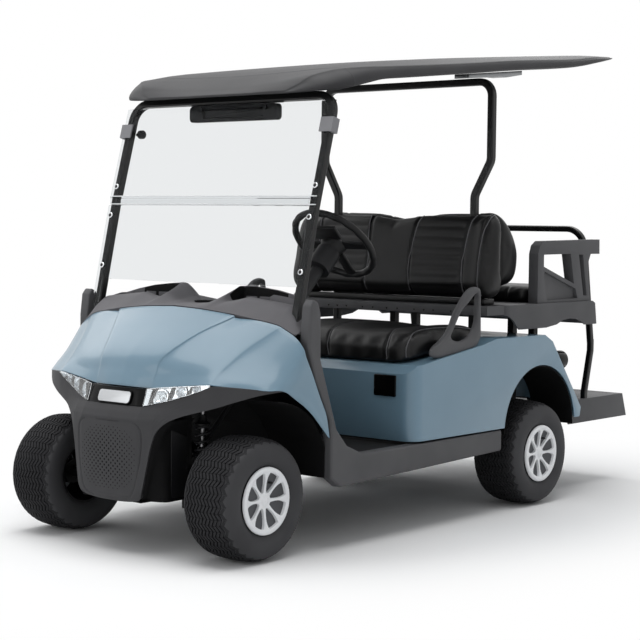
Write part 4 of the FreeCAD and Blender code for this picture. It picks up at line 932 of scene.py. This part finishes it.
def hump(value, middle, width):
    """A soft hump of height 1 about a middle."""
    return math.exp(-((value - middle) / width) ** 2)


def flutes(across, z, near, far, low, high):
    """The sewn flutes of a backrest's panel, which fade out at the panel's sides."""
    if not (near < across < far and low < z < high):
        return 0
    fade = min(1, (across - near) / 20, (far - across) / 20)
    return fade * (4.0 * abs(math.sin((z - low) * math.pi / 42)) - 3.0)


def piping(name, cover, paths, body):
    """Fine piping sewn over a cover: each path is laid on the surface, on both sides."""
    cords = []
    for path in paths:
        for side in (1, -1):
            laid = []
            for point in through([at(side * x, s, z) for x, s, z in path], 90):
                place, normal = cover.closest_point_on_mesh(point)[1:3]
                laid.append(place + normal * 1.0 * MM)
            for _ in range(6):
                smooth = [(a + b * 2 + c) / 4 for a, b, c in zip(laid, laid[1:], laid[2:])]
                laid = laid[:1] + smooth + laid[-1:]
            cords.append(ring_tube("cord", laid, 2.3, 6))
    # The cords take the piping's paler grey, which is a painted sheen.
    finish(shade(join(name, cords), 60), "piping_vinyl", body)


def make_cushion(node, half, outline, end_radius, cap, sewn, shape=None, paths=(), body="chassis"):
    """Builds the padded piece of a CAD node: the blown-up cover, its seams and its piping."""
    piece = cushion_blank(f"{node}_cover", half, outline, end_radius, shape)
    inflate(piece, cap)
    subdivide(piece)
    press(piece, sewn)
    if paths:
        piping(f"{node}_piping", piece, paths, body)
    finish(shade(piece, 180), "seat_vinyl", body, replaces=[node])


FRONT_SEAM = ((816, 146), (830, 134), (870, 118), (930, 96), (1000, 82), (1100, 78), (1320, 84))
SIDE_SEAM = ((816, 436), (832, 430), (880, 410), (960, 370), (1040, 352), (1320, 350))
END_SEAM = ((816, 530), (850, 521), (900, 498), (960, 491), (1120, 500), (1320, 505))


def make_front_backrest():
    """The forward bench's back: two fluted panels, smooth ends and a dip in the middle."""
    outline = [(1396, 866), (1374, 890), (1371, 930), (1384, 1000), (1400, 1085), (1420, 1160),
               (1436, 1200), (1452, 1214), (1464, 1206), (1468, 1150), (1468, 1000), (1468, 900),
               (1462, 870), (1430, 864)]

    def shape(x, s, z):
        dip = 20 * hump(x, 0, 95) * max(0, (z - 1000) / 220) if z > 1000 else 0
        forward = 16 * hump(abs(x), 500, 60) if s < 1440 else 0
        return s - forward, z - dip

    def sewn(x, s, z, normal):
        across = abs(x)
        if normal.y >= 0.3:
            return 0
        bow = ((z - 1040) / 200) ** 2
        moved = sum(groove(across - line - 22 * bow, 7, 5) for line in (112, 384))
        moved += flutes(across, z, 116, 380, 905, 1190)
        return moved + groove(across - 470 - 10 * bow, 5, 5)

    make_cushion("front_backrest", 532, outline, 52, 9, sewn, shape, [
        [(120, 1372, 880), (113, 1370, 960), (112, 1378, 1040), (120, 1394, 1120),
         (134, 1430, 1206), (128, 1460, 1210)],
        [(392, 1372, 880), (385, 1370, 960), (384, 1378, 1040), (392, 1394, 1120),
         (404, 1430, 1206), (398, 1460, 1210)],
        [(486, 1372, 880), (474, 1370, 960), (470, 1378, 1040), (476, 1394, 1120),
         (492, 1430, 1200), (486, 1460, 1206)],
    ])


def make_front_cushion():
    """The forward bench's cushion: a lip over the body's front edge and a hollow at each place."""
    outline = [(838, 640), (813, 634), (807, 652), (810, 684), (822, 712), (850, 733), (905, 748),
               (1000, 757), (1110, 760), (1220, 758), (1300, 748), (1324, 733), (1326, 722),
               (1310, 716), (1240, 700), (1120, 674), (1000, 658), (920, 651)]

    def sewn(x, s, z, normal):
        across = abs(x)
        if normal.z < -0.3:
            return 0
        seams = (FRONT_SEAM, SIDE_SEAM, END_SEAM)
        moved = sum(groove(across - between(seam, s), 8, 4) for seam in seams)
        moved -= 20 * hump(across, 285, 95) * hump(s, 1110, 180) * max(0, normal.z)
        if 160 < across < 420:
            moved += 1.4 * math.sin(across / 13) * hump(s, 822, 18)
        return moved

    make_cushion("front_cushion", 538, outline, 60, 8, sewn, paths=[
        [(146, 816, 650), (140, 815, 682), (134, 830, 712), (118, 870, 742), (96, 930, 755),
         (82, 1000, 760), (78, 1100, 764), (80, 1200, 762), (84, 1306, 750)],
        [(436, 816, 650), (434, 815, 682), (430, 832, 714), (410, 880, 742), (370, 960, 752),
         (352, 1040, 757), (350, 1150, 762), (350, 1304, 750)],
        [(532, 824, 655), (530, 820, 690), (521, 850, 730), (498, 900, 750), (491, 960, 757),
         (495, 1040, 762), (500, 1120, 762), (505, 1220, 760), (500, 1306, 748)],
    ], body="front_seat")


def make_rear_backrest():
    """The rear-facing bench's back: two fluted panels and a dip in the middle."""
    outline = [(1508, 912), (1506, 980), (1506, 1090), (1508, 1190), (1516, 1215), (1536, 1219),
               (1566, 1202), (1610, 1152), (1640, 1100), (1660, 1045), (1660, 990), (1650, 938),
               (1630, 912), (1570, 908)]

    def shape(x, s, z):
        dip = 26 * hump(x, 0, 110) * max(0, (z - 1000) / 220) if z > 1000 else 0
        return s, z - dip

    def sewn(x, s, z, normal):
        across = abs(x)
        moved = 0
        if normal.y > -0.4:
            moved += groove(across - 100, 7, 5) + groove(across - 350, 7, 5)
            moved += flutes(across, z, 106, 344, 940, 1180)
        return moved + (groove(s - 1532, 5, 4) if normal.z > 0.2 or across > 440 else 0)

    make_cushion("rear_backrest", 483, outline, 70, 8, sewn, shape)


def make_rear_cushion():
    """The rear-facing bench's cushion, with two seams from front to back on each side."""
    outline = [(1706, 846), (1704, 872), (1712, 890), (1740, 900), (1800, 904), (1900, 905),
               (1990, 901), (2046, 888), (2068, 864), (2066, 848), (2040, 842), (1890, 841),
               (1740, 842)]

    def sewn(x, s, z, normal):
        if normal.z < -0.3:
            return 0
        return groove(abs(x) - 80, 7, 5) + groove(abs(x) - 380, 7, 5)

    make_cushion("rear_cushion", 488, outline, 50, 6, sewn, body="rear_seat")


# ---- nose: bumper, grille, lamps and wheel arches ----

NOSE_TIP = -231
BUMPER_HALF = 590
NOSE_PLAN = ((0, 0), (60, 1.5), (100, 4), (142, 9), (200, 26), (260, 55), (312, 81), (387, 112),
             (480, 164), (560, 233), (597, 277))
NOSE_LEAN = ((165, 38), (180, 26), (195, 12), (210, 3), (230, 0), (440, 0), (478, 3), (500, 14),
             (523, 29), (560, 42), (609, 56))
GRILLE_WIDE, GRILLE_HIGH, GRILLE_CORNER, GRILLE_MIDDLE = 160, 137, 46, 331
GRILLE_HALF = ((190, 120), (240, 134), (290, 147), (340, 157), (390, 161), (470, 160))


def nose_face(x, z):
    """How far behind the front axle the nose's outer surface lies."""
    fade = between(((0, 1), (200, 1), (312, 0.45), (387, 0.2), (480, 0.08), (560, 0), (600, 0)),
                   abs(x))
    return NOSE_TIP + between(NOSE_PLAN, abs(x)) + between(NOSE_LEAN, z) * fade


def grille_edge(x, z):
    """The distance from the rounded square that is scored round the grille, inwards negative."""
    half = between(GRILLE_HALF, z)
    across = abs(x) * GRILLE_WIDE / half - (GRILLE_WIDE - GRILLE_CORNER)
    up = abs(z - GRILLE_MIDDLE) - (GRILLE_HIGH - GRILLE_CORNER)
    outside = math.hypot(max(across, 0), max(up, 0))
    return outside + min(max(across, up), 0) - GRILLE_CORNER


def make_fascia():
    """The grey bumper skin: a tapered chin that flares into a wing under each lamp."""
    low = [(0, 182), (40, 182), (80, 184), (110, 187), (135, 192), (152, 202), (162, 225),
           (168, 250), (173, 275), (178, 300), (184, 330), (190, 360), (196, 385), (203, 410),
           (211, 432), (222, 450), (238, 466), (262, 483), (300, 499), (350, 514), (410, 532),
           (470, 554), (530, 576), (577, 588.5), (588, 590)]
    high = [(0, 521), (30, 521), (60, 521), (88, 521), (108, 521), (122, 521), (131, 521.2),
            (137, 521.5), (142, 521.8), (150, 523.5), (160, 526), (172, 529), (185, 532),
            (200, 536), (216, 540), (235, 545), (256, 551), (280, 559), (310, 569), (345, 583),
            (390, 603), (450, 603), (520, 598), (577, 594), (588, 592.8)]
    rows = []
    for share in [step / 70 for step in range(71)]:
        spots = [(low_x + (high_x - low_x) * share, low_z + (high_z - low_z) * share)
                 for (low_x, low_z), (high_x, high_z) in zip(low, high)]
        rows.append(through([at(x, nose_face(x, z), z) for x, z in spots], 190))
    room = [min((high.z - low.z) / 0.05, 1) for low, high in zip(rows[0], rows[-1])]

    def flange(row, step):
        return [point + Vector(step) * share for point, share in zip(row, room)]

    under, back = flange(rows[0], (-0.004, 0.012, 0.003)), flange(rows[0], (-0.006, 0.034, 0.012))
    top, behind = flange(rows[-1], (0, 0.006, 0.0006)), flange(rows[-1], (0, 0.026, 0.001))
    rows = [back, under] + rows + [top, behind]
    for row in rows:
        row[0].x = 0
        for point in row:
            point.x = min(point.x, BUMPER_HALF * MM)
    piece = mirrored(skin("bumper_skin", rows))

    def scored(x, s, z, normal):
        edge = grille_edge(x, z)
        return groove(edge, 3.2, 3.0) - (1.6 if edge < 0 else 0)

    press(piece, scored)
    modify(piece, "SOLIDIFY", thickness=2.5 * MM, offset=-1.0)
    finish(shade(piece, 50), "bumper_plastic", replaces=["front_bumper"])


def make_grille_dots():
    """Black dots of painted shade for the grille's dimples, smaller towards its rim."""
    middle, across, up = 338, 22, 9.8
    dots = []
    for line in range(-12, 13):
        z = middle + line * up
        for step in range(-7, 8):
            x = step * across + (across / 2 if line % 2 else 0)
            reach = (abs(x) / 138) ** 2.6 + (abs(z - middle) / 116) ** 2.6
            if reach <= 1:
                # Each dimple is a thin black disc a little proud of the nose: painted shade, not a
                # hollow.
                dots.append(cone(8, (3.9 - 2.3 * reach, 2.4 - 1.4 * reach), 0.6,
                                 at(x, nose_face(x, z) + 0.9, z), (math.pi / 2, 0, 0)))
    finish(settle(join("grille_dimple_shade", dots)), "liner_plastic")


def make_nose_sides():
    """Black walls behind the bumper's edges, and the flat panel on each."""
    levels = [188, 225, 250, 300, 360, 410, 432, 450, 466, 478]
    edge = ((182, 135), (192, 140), (202, 152), (225, 162), (300, 178), (360, 190), (410, 203),
            (432, 211), (450, 222), (478, 250))
    rows = []
    for z in levels:
        x = between(edge, z)
        start = nose_face(x, z)
        line = [(x - 8, start + 8), (x, start + 22), (x + 6, start + 40), (206, -140), (207, -90),
                (206, -38)]
        rows.append(through([at(max(u, x - 8), s, z) for u, s in line], 16))
    wall = skin("nose_side_left", rows)
    modify(wall, "SOLIDIFY", thickness=3 * MM, offset=0)
    panel = block("nose_panel_left", (206, 211), (-118, -36), (200, 440), 2)
    shift(panel, lambda vertex: vertex.co.z > 0.42 and vertex.co.y > FRONT_AXLE_Y - 0.06,
          (0, 0, -30))
    finish_pair(wall, 40, "liner_plastic")
    finish_pair(panel, 40, "black_plastic")
    finish(block("nose_floor", (-150, 150), (-205, -40), (186, 190), 1.5), "liner_plastic")


LAMP_LOW = ((142, 523.5), (231, 545.5), (312, 572.5), (384, 601))
LAMP_HIGH = ((140, 583), (180, 589), (250, 596.5), (377, 608.5), (384, 608.8))
BOWLS = ((192, 555, 25), (266, 579, 19), (322, 591, 12))


def lamp_grid(name, across, up, depth):
    """A sheet over the lamp's leaf shape; a rule gives its depth behind the nose's surface."""
    start, end = 143, 383
    rows = []
    for v in [line / up for line in range(up + 1)]:
        row = []
        for u in [step / across for step in range(across + 1)]:
            x = start + (end - start) * u
            z = between(LAMP_LOW, x) * (1 - v) + between(LAMP_HIGH, x) * v
            row.append(at(x, nose_face(x, z) + depth(x, z, u, v), z))
        rows.append(row)
    return skin(name, rows)


def make_headlamps():
    """Clear leaf-shaped covers over metallised reflectors with round bowls."""

    def bowl(x, z, u, v):
        rim = min(1, 9 * min(v, 1 - v), 14 * min(u, 1 - u))
        deep = 3.5 + 17 * rim
        for bowl_x, bowl_z, radius in BOWLS:
            away = math.hypot(x - bowl_x, z - bowl_z) / radius
            if away < 1:
                deep += 20 * (1 - away ** 2) - 3
            elif away < 1.16:
                deep -= 6
        return deep

    lens = lamp_grid("headlamp_cover_left", 40, 8, lambda x, z, u, v: 0.4)
    modify(lens, "SOLIDIFY", thickness=2.2 * MM, offset=1.0)
    mirror = lamp_grid("headlamp_reflector_left", 120, 44, bowl)
    modify(mirror, "SOLIDIFY", thickness=1.5 * MM, offset=1.0)
    parts = []
    for x, z, radius in BOWLS:
        front = nose_face(x, z) + 16
        outline = [(-9, TINY), (-9, radius * 0.34), (0, radius * 0.36), (5, radius * 0.26),
                   (7, TINY)]
        parts.append(turned("bulb", outline, at(x, front + 6, z), (0, -1, 0), 16))
    bulbs = join("headlamp_bulbs_left", parts)
    fins = []
    for x, lean in ((160, 12), (226, 10), (296, 8)):
        low, high = between(LAMP_LOW, x), between(LAMP_HIGH, x)
        s = nose_face(x, low)
        fin = block("fin", (x - 3, x + 3), (s + 7, s + 26), (low + 3, high - 3), 1, 2)
        middle = (low + high) / 2 * MM
        fins.append(shift(fin, lambda vertex: vertex.co.z > middle, (lean, 12, 0)))
    fins = join("headlamp_fins_left", fins)
    finish_pair(lens, 35, "lamp_lens", ["headlamps"])
    finish_pair(mirror, 35, "chrome")
    finish_pair(bulbs, 35, "lamp_lens")
    finish_pair(fins, 35, "gloss_black")


def make_badge_place():
    """The bare plate on the black panel between the lamps."""
    finish(rounded_plate("bare_plate_rim", 84, (526, 574), 15, 3.2), "gloss_black")
    finish(rounded_plate("bare_plate_field", 80, (530, 570), 12, 4.2), "plate_grey")


def rounded_plate(name, half, z, corner, proud):
    """A thin plate with round corners that stands a little proud of the nose's slope."""
    reach = Vector((half, 2.5, (z[1] - z[0]) / 2)) * MM
    piece = cube(name, -reach, reach)
    round_corners(piece, corner)
    bevel(piece, 0.8, 2, 50)
    middle = (z[0] + z[1]) / 2
    for vertex in piece.data.vertices:
        height = middle + vertex.co.z / MM
        lean = nose_face(0, height) + between(NOSE_PLAN, abs(vertex.co.x) / MM)
        vertex.co = at(vertex.co.x / MM, lean + 2.5 - proud + vertex.co.y / MM, height)
    return shade(piece, 35)


def arch_sheet(name, x, profile):
    """A curved sheet across a wheel arch, through points of (s, z)."""
    line = through([Vector((0, s, z)) for s, z in profile], 48)
    places = (x[0], (x[0] * 2 + x[1]) / 3, (x[0] + x[1] * 2) / 3, x[1])
    piece = skin(name, [[at(across, point.y, point.z) for across in places] for point in line])
    modify(piece, "SOLIDIFY", thickness=3 * MM, offset=0)
    finish_pair(piece, 40, "liner_plastic")


def make_arch_liners():
    """Black liners inside the wheel arches, front and rear."""
    front = [(294, 264), (294, 330), (292, 385), (262, 432), (225, 480), (160, 522), (90, 545),
             (45, 553)]
    arch_sheet("front_liner_left", (300, 562), front)
    middle, height, radius = 1665, 318, 262
    rear = [(middle + radius * math.cos(math.radians(turn)),
             height + radius * math.sin(math.radians(turn))) for turn in range(180, -1, -20)]
    arch_sheet("rear_liner_left", (385, 586), rear)


def make_shocks():
    """A black coil over a damper on each side, with bright collars."""
    foot = at(247, 0, 170)
    turns, steps, radius = 7, 14, 24
    coil = []
    for step in range(turns * steps + 1):
        share = step / (turns * steps)
        turn = step * 2 * math.pi / steps
        reach = radius * (1 - 0.12 * max(0, abs(share - 0.5) * 2 - 0.8) / 0.2)
        coil.append(foot + Vector((reach * math.cos(turn), reach * math.sin(turn),
                                   96 + 184 * share)) * MM)
    finish_pair(ring_tube("shock_coil_left", coil, 5.2, 8), 50, "black_plastic", ["front_shocks"])
    plan = {
        "body": ("chassis_steel", 28, [
            (0, TINY), (0, 12), (34, 12), (40, 20), (86, 20), (88, 28), (94, 29), (96, 26),
            (97, 15), (200, 15), (204, 11), (204, TINY)]),
        "seat": ("chassis_steel", 28, [
            (280, 7), (282, 28), (288, 29), (292, 22), (300, 15), (318, 13), (320, 7)]),
        "shaft": ("spring_steel", 20, [(196, TINY), (196, 7), (349, 7), (350, TINY)]),
        "collar": ("spring_steel", 24, [(206, 7.5), (206, 12), (214, 12), (214, 7.5)]),
    }
    for name, (material, sides, outline) in plan.items():
        finish_pair(turned(f"shock_{name}_left", outline, foot, ALONG_Z, sides), 50, material)


# ---- dash, mirror, steering wheel and post fittings ----

DASH_HALF, DASH_FOOT = 547, 781
TRAY_FLOOR, TRAY_REAR = 842, 312
TRAY_NEAR, TRAY_FAR = 154, 470


def dash_front(x):
    """Where the dash meets the bonnet: its distance behind the front axle, and its height."""
    across = abs(x)
    s = between(((0, 100), (142, 100), (284, 110), (380, 120), (438, 130), (480, 140), (548, 152)),
                across)
    z = between(((0, 862), (142, 856), (284, 842), (380, 828), (438, 820), (480, 810), (548, 776)),
                across)
    return s, z


def dash_height(x, s):
    """The dash's top: a low middle, a raised rim round each tray, and falling shoulders."""
    across = abs(x)
    crown = between(((0, 870), (44, 872), (90, 886), (130, 918), (153, 932), (172, 935),
                     (240, 929), (314, 921), (400, 905), (470, 888), (512, 866), (548, 812)),
                    across)
    lip = between(((0, 868), (118, 870), (150, 876), (222, 888), (265, 898), (335, 891),
                   (407, 884), (477, 876), (512, 852), (548, 800)), across)
    start, low = dash_front(x)
    slope = min(max((s - start) / (226 - start), 0), 1)
    climb = min(max((s - 226) / 66, 0), 1)
    side = 1 - min(max((across - 150) / 24, 0), 1)
    straight = low + (crown - low) * min(max((s - start) / (290 - start), 0), 1)
    rim = (crown - lip) * climb * climb * (3 - 2 * climb)
    open_side = low + (lip - low) * math.sin(slope * math.pi / 2) + rim
    return open_side * (1 - side) + straight * side


def in_tray(x, s):
    """How far inside the tray's opening a point lies, in millimetres."""
    across = abs(x)
    lip = between(((150, 236), (176, 230), (462, 230)), across)
    return min(across - TRAY_NEAR, TRAY_FAR - across, s - lip, TRAY_REAR - s)


def make_dash():
    """The moulded dash with a deep open tray on each side, its inside painted black as shade."""
    columns = sorted({step * 7 for step in range(79)} | {152, 156, 468, 472, DASH_HALF})
    columns = [-x for x in reversed(columns) if x] + columns
    rows = []
    for share in [step / 50 for step in range(51)]:
        row = []
        for x in columns:
            start = dash_front(x)[0]
            end = 330 - 92 * max(abs(x) - TRAY_FAR, 0) / (DASH_HALF - TRAY_FAR)
            s = start + (end - start) * share
            z = dash_height(x, s)
            deep = in_tray(x, s)
            if deep > 0:
                z -= min(deep / 5, 1) * max(z - TRAY_FLOOR, 0)
            row.append(at(x, s, z))
        row += [at(545, place_of(row[-1])[1], DASH_FOOT), at(-545, place_of(row[0])[1], DASH_FOOT)]
        rows.append(row)
    piece = close_up(skin("dash_moulding", rows, closed=True, caps=True))
    paint(piece, "dash_plastic", "liner_plastic")
    # The trays' sunk faces take the black liner plastic: painted shade in the deep trays.
    for face in piece.data.polygons:
        x, s, z = place_of(face.center)
        sunk = in_tray(x, s) > 1 and z < dash_height(x, s) - 6 and face.normal.z > -0.5
        face.material_index = 1 if sunk else 0
    finish(shade(piece, 42), "dash_plastic", replaces=["dash_top"])
    cup = turned("cup_liner", [(0, TINY), (0, 33), (46, 36), (48, 39), (50, 36.5), (46, 33.5),
                               (3, 30), (2, TINY)], at(0, 262, 824), ALONG_Z, 40)
    finish(shade(cup, 40), "liner_plastic")
    ribs = [block("tray_rib", (x - 26, x + 26), (306, 311), (872, 896), 2)
            for x in (196, 262, 330)]
    finish_pair(join("tray_ribs_left", ribs), 40, "dash_plastic")


HOOP_OUTER = ((910, 661), (905, 679), (921, 695), (954, 710), (1004, 742), (1036, 775),
              (1061, 819), (1103, 867), (1144, 906), (1184, 921), (1219, 917), (1229, 899),
              (1232, 833), (1237, 757), (1238, 721), (1212, 687), (1160, 670), (1039, 657),
              (956, 651))
HOOP_HOLE = ((1198, 895), (1149, 858), (1102, 828), (1068, 787), (1045, 754), (1037, 740),
             (1054, 720), (1098, 712), (1148, 724), (1184, 752), (1206, 784), (1209, 834),
             (1213, 880))
HOOP_NEAR, HOOP_FAR = 584, 556
HOOP_EDGE = 7
HOOP_MIDDLE = Vector((0, 1150, 770))


def make_hip_loops():
    """Moulded loops beside the front seat: a thick base, a strap to a peak and an upright."""
    spokes = [point - HOOP_MIDDLE for point in smooth_loop(HOOP_HOLE, 160)]
    inner = sorted((math.atan2(spoke.z, spoke.y), spoke.length) for spoke in spokes)
    whole = 2 * math.pi
    inner = [(inner[-1][0] - whole, inner[-1][1])] + inner + [(inner[0][0] + whole, inner[0][1])]
    near, far = HOOP_NEAR - HOOP_EDGE, HOOP_FAR + HOOP_EDGE
    section = ((near, 0), (HOOP_NEAR, 0.2), (HOOP_NEAR, 0.8), (near, 1), (far, 1),
               (HOOP_FAR, 0.8), (HOOP_FAR, 0.2), (far, 0))
    rows = []
    for point in smooth_loop(HOOP_OUTER, 84):
        away = point - HOOP_MIDDLE
        hole = HOOP_MIDDLE + away.normalized() * between(inner, math.atan2(away.z, away.y))
        spots = [(x, point.lerp(hole, share)) for x, share in section]
        rows.append([at(x, spot.y, spot.z) for x, spot in spots])
    piece = close_up(skin("hip_loop_left", rows + rows[:1], closed=True))
    subdivide(piece)
    finish_pair(piece, 60, "dark_plastic", ["hip_restraints"])


def make_mirror():
    """The mirror's moulded shell with a long recess in its back, hung on two short stems."""
    shell = block("mirror_shell", (-225, 225), (408, 434), (1546, 1607), 0)
    round_corners(shell, 16)
    edit(shell, lambda face: face.normal.y < -0.9, "FACE")
    bpy.ops.mesh.inset(thickness=13 * MM)
    bpy.ops.transform.resize(value=(0.74, 1, 1), center_override=at(0, 408, 1576))
    bpy.ops.mesh.inset(thickness=4 * MM)
    bpy.ops.transform.translate(value=(0, 9 * MM, 0))
    leave()
    bevel(shell, 2.5, 3, 35)
    finish(shade(shell, 40), "black_plastic", replaces=["mirror"])
    stems = [rod("stem", at(x, 416, 1598), at(x, 416, 1628), 6, 16) for x in (-165, 165)]
    stems += [rod("stem_cap", at(x, 402, 1594), at(x, 412, 1594), 11, 20) for x in (-165, 165)]
    finish(shade(join("mirror_stems", stems), 40), "black_plastic")


def make_screen_rail():
    """The clear rail where the screen folds, with a pale seal along each sheet's edge."""
    rail = block("screen_rail", (-524, 524), (270, 284), (1233, 1261), 2)
    finish(rail, "clear_sheet")
    seals = [block("seal", (-524, 524), (268, 286), (low, low + 4), 1) for low in (1230, 1260)]
    finish(join("screen_seals", seals), "seal_white")


def make_channel_holes():
    """The row of small three-cornered holes in the rear seat tray's front wall, as painted shade.
    """
    # Each hole is a thin black triangle on the wall: painted shade where the opening is.
    holes = [cone(3, (5.5, 5), 1.2, at(side * across, 1324.6, 812), (-math.pi / 2, 0, 0))
             for across in (37, 93, 181, 231, 279, 368) for side in (1, -1)]
    finish(settle(join("channel_hole_shade", holes)), "liner_plastic")


WHEEL_PLACE = (300, 654, 1088)
COLUMN_TILT = -45
RIM_RADIUS, RIM_THICKNESS = 165, 13.5
SPOKE_BOXES = (
    ((44, 160), (-17, 19), (-9.5, 1.5)), ((-160, -44), (-17, 19), (-9.5, 1.5)),
    ((-21, 21), (46, 160), (-9.5, 1.5)),
)
CARD_HOLDER_BOXES = (
    ((-58, 58), (-92, -34), (-11, -5)), ((-58, 58), (-94, -84), (-11, 3)),
    ((-60, -50), (-92, -34), (-11, 1)), ((50, 60), (-92, -34), (-11, 1)),
    ((-30, 30), (-46, -36), (-8, 5)),
)


def on_column(piece):
    """Moves a piece from the steering wheel's own axes to its place on the column."""
    tilt = Matrix.Rotation(math.radians(COLUMN_TILT), 4, "X")
    move = Matrix.Translation(at(*WHEEL_PLACE)) @ tilt
    for vertex in piece.data.vertices:
        vertex.co = move @ vertex.co
    return piece


def wheel_boxes(name, boxes, width):
    """Rounded boxes in the steering wheel's own axes, in millimetres."""
    corners = [(Vector(low) * MM, Vector(high) * MM) for low, high in (zip(*box) for box in boxes)]
    return [bevel(cube(name, low, high), width, 3) for low, high in corners]


def steering_rim():
    """The steering wheel's rim, with finger ribs on its far side."""
    turns = [step * 2 * math.pi / 96 for step in range(96)]
    line = [Vector((math.cos(turn), math.sin(turn), 0)) * RIM_RADIUS * MM for turn in turns]
    rim = ring_tube("rim", line, RIM_THICKNESS, 14, closed=True)
    for vertex in rim.data.vertices:
        flat = Vector((vertex.co.x, vertex.co.y, 0))
        turn = math.degrees(math.atan2(vertex.co.y, vertex.co.x)) % 360
        ribbed = (15 < turn < 165 or 195 < turn < 345) and vertex.co.z < 0.004
        core = flat.normalized() * RIM_RADIUS * MM
        swell = 1 + (0.10 * math.cos(math.radians(turn * 18)) if ribbed else 0)
        vertex.co = core + (vertex.co - core) * swell
    return subdivide(rim)


def make_steering_wheel():
    """Rim, three flat spokes, a horn pad and the card holder above it, and the column's collar."""
    rim = steering_rim()
    spokes = wheel_boxes("spoke", SPOKE_BOXES, 4)
    pad = turned("pad", [(-42, TINY), (-42, 34), (-30, 40), (-6, 43), (2, 38), (5, 20),
                         (5.5, TINY)], ORIGIN, ALONG_Z, 40)
    for vertex in pad.data.vertices:
        if vertex.co.z > -0.008:
            vertex.co.x *= 1.35
    holder = wheel_boxes("card_holder", CARD_HOLDER_BOXES, 3)
    wheel = settle(join("steering_wheel_full", [rim] + spokes + [pad] + holder))
    finish(shade(on_column(wheel), 40), "grip_rubber", "steering_wheel",
           replaces=["steering_wheel"])
    collar = turned("column_collar", [(-72, 24.5), (-72, 34), (-66, 37), (-52, 37), (-48, 46),
                                      (-45, 46), (-43.5, 40), (-43.5, 24.5)], ORIGIN, ALONG_Z, 40)
    finish(shade(on_column(collar), 40), "black_plastic")


def make_post_fittings():
    """Ringed screws through the screen into the posts, and a knob on the right post."""
    ring = [(0, 7), (0, 11), (2.5, 11), (4, 9.5), (4, 7)]
    screw = [(0, TINY), (0, 6.5), (2.5, 6.5), (5, 4), (5, TINY)]
    tilt = Vector((0, -0.975, 0.222)).normalized()
    rings, screws = [], []
    for side in (1, -1):
        for s, z in ((260, 1188), (216, 994), (292, 1300)):
            place = at(side * 510, s + 0.5, z)
            rings.append(turned("ring", ring, place, tilt, 24))
            screws.append(turned("screw", screw, place, tilt, 12))
    finish(shade(join("post_rings", rings), 30), "chrome")
    finish(shade(join("post_screws", screws), 30), "bolt_black")
    place = at(-486, 392, 1506)
    knob = turned("post_knob", [(0, TINY), (0, 14), (4, 17), (20, 17), (24, 14), (26, TINY)],
                  place, ALONG_X, 20)
    stem = turned("post_knob_stem", [(-14, TINY), (-14, 6), (2, 6), (2, TINY)], place, ALONG_X, 12)
    finish(shade(join("post_knob", [knob, stem]), 35), "black_plastic")


place_camera()
place_world()
place_floor()
place_lamps()
paint_cad_nodes()
make_bonnet()
make_canopy()
round_the_panels()
make_fascia()
make_grille_dots()
make_nose_sides()
make_headlamps()
make_badge_place()
make_arch_liners()
make_shocks()
make_dash()
make_hip_loops()
make_mirror()
make_screen_rail()
make_channel_holes()
make_steering_wheel()
make_post_fittings()
place_wheels()
make_front_backrest()
make_front_cushion()
make_rear_backrest()
make_rear_cushion()
bpy.context.scene.view_settings.view_transform = "Standard"
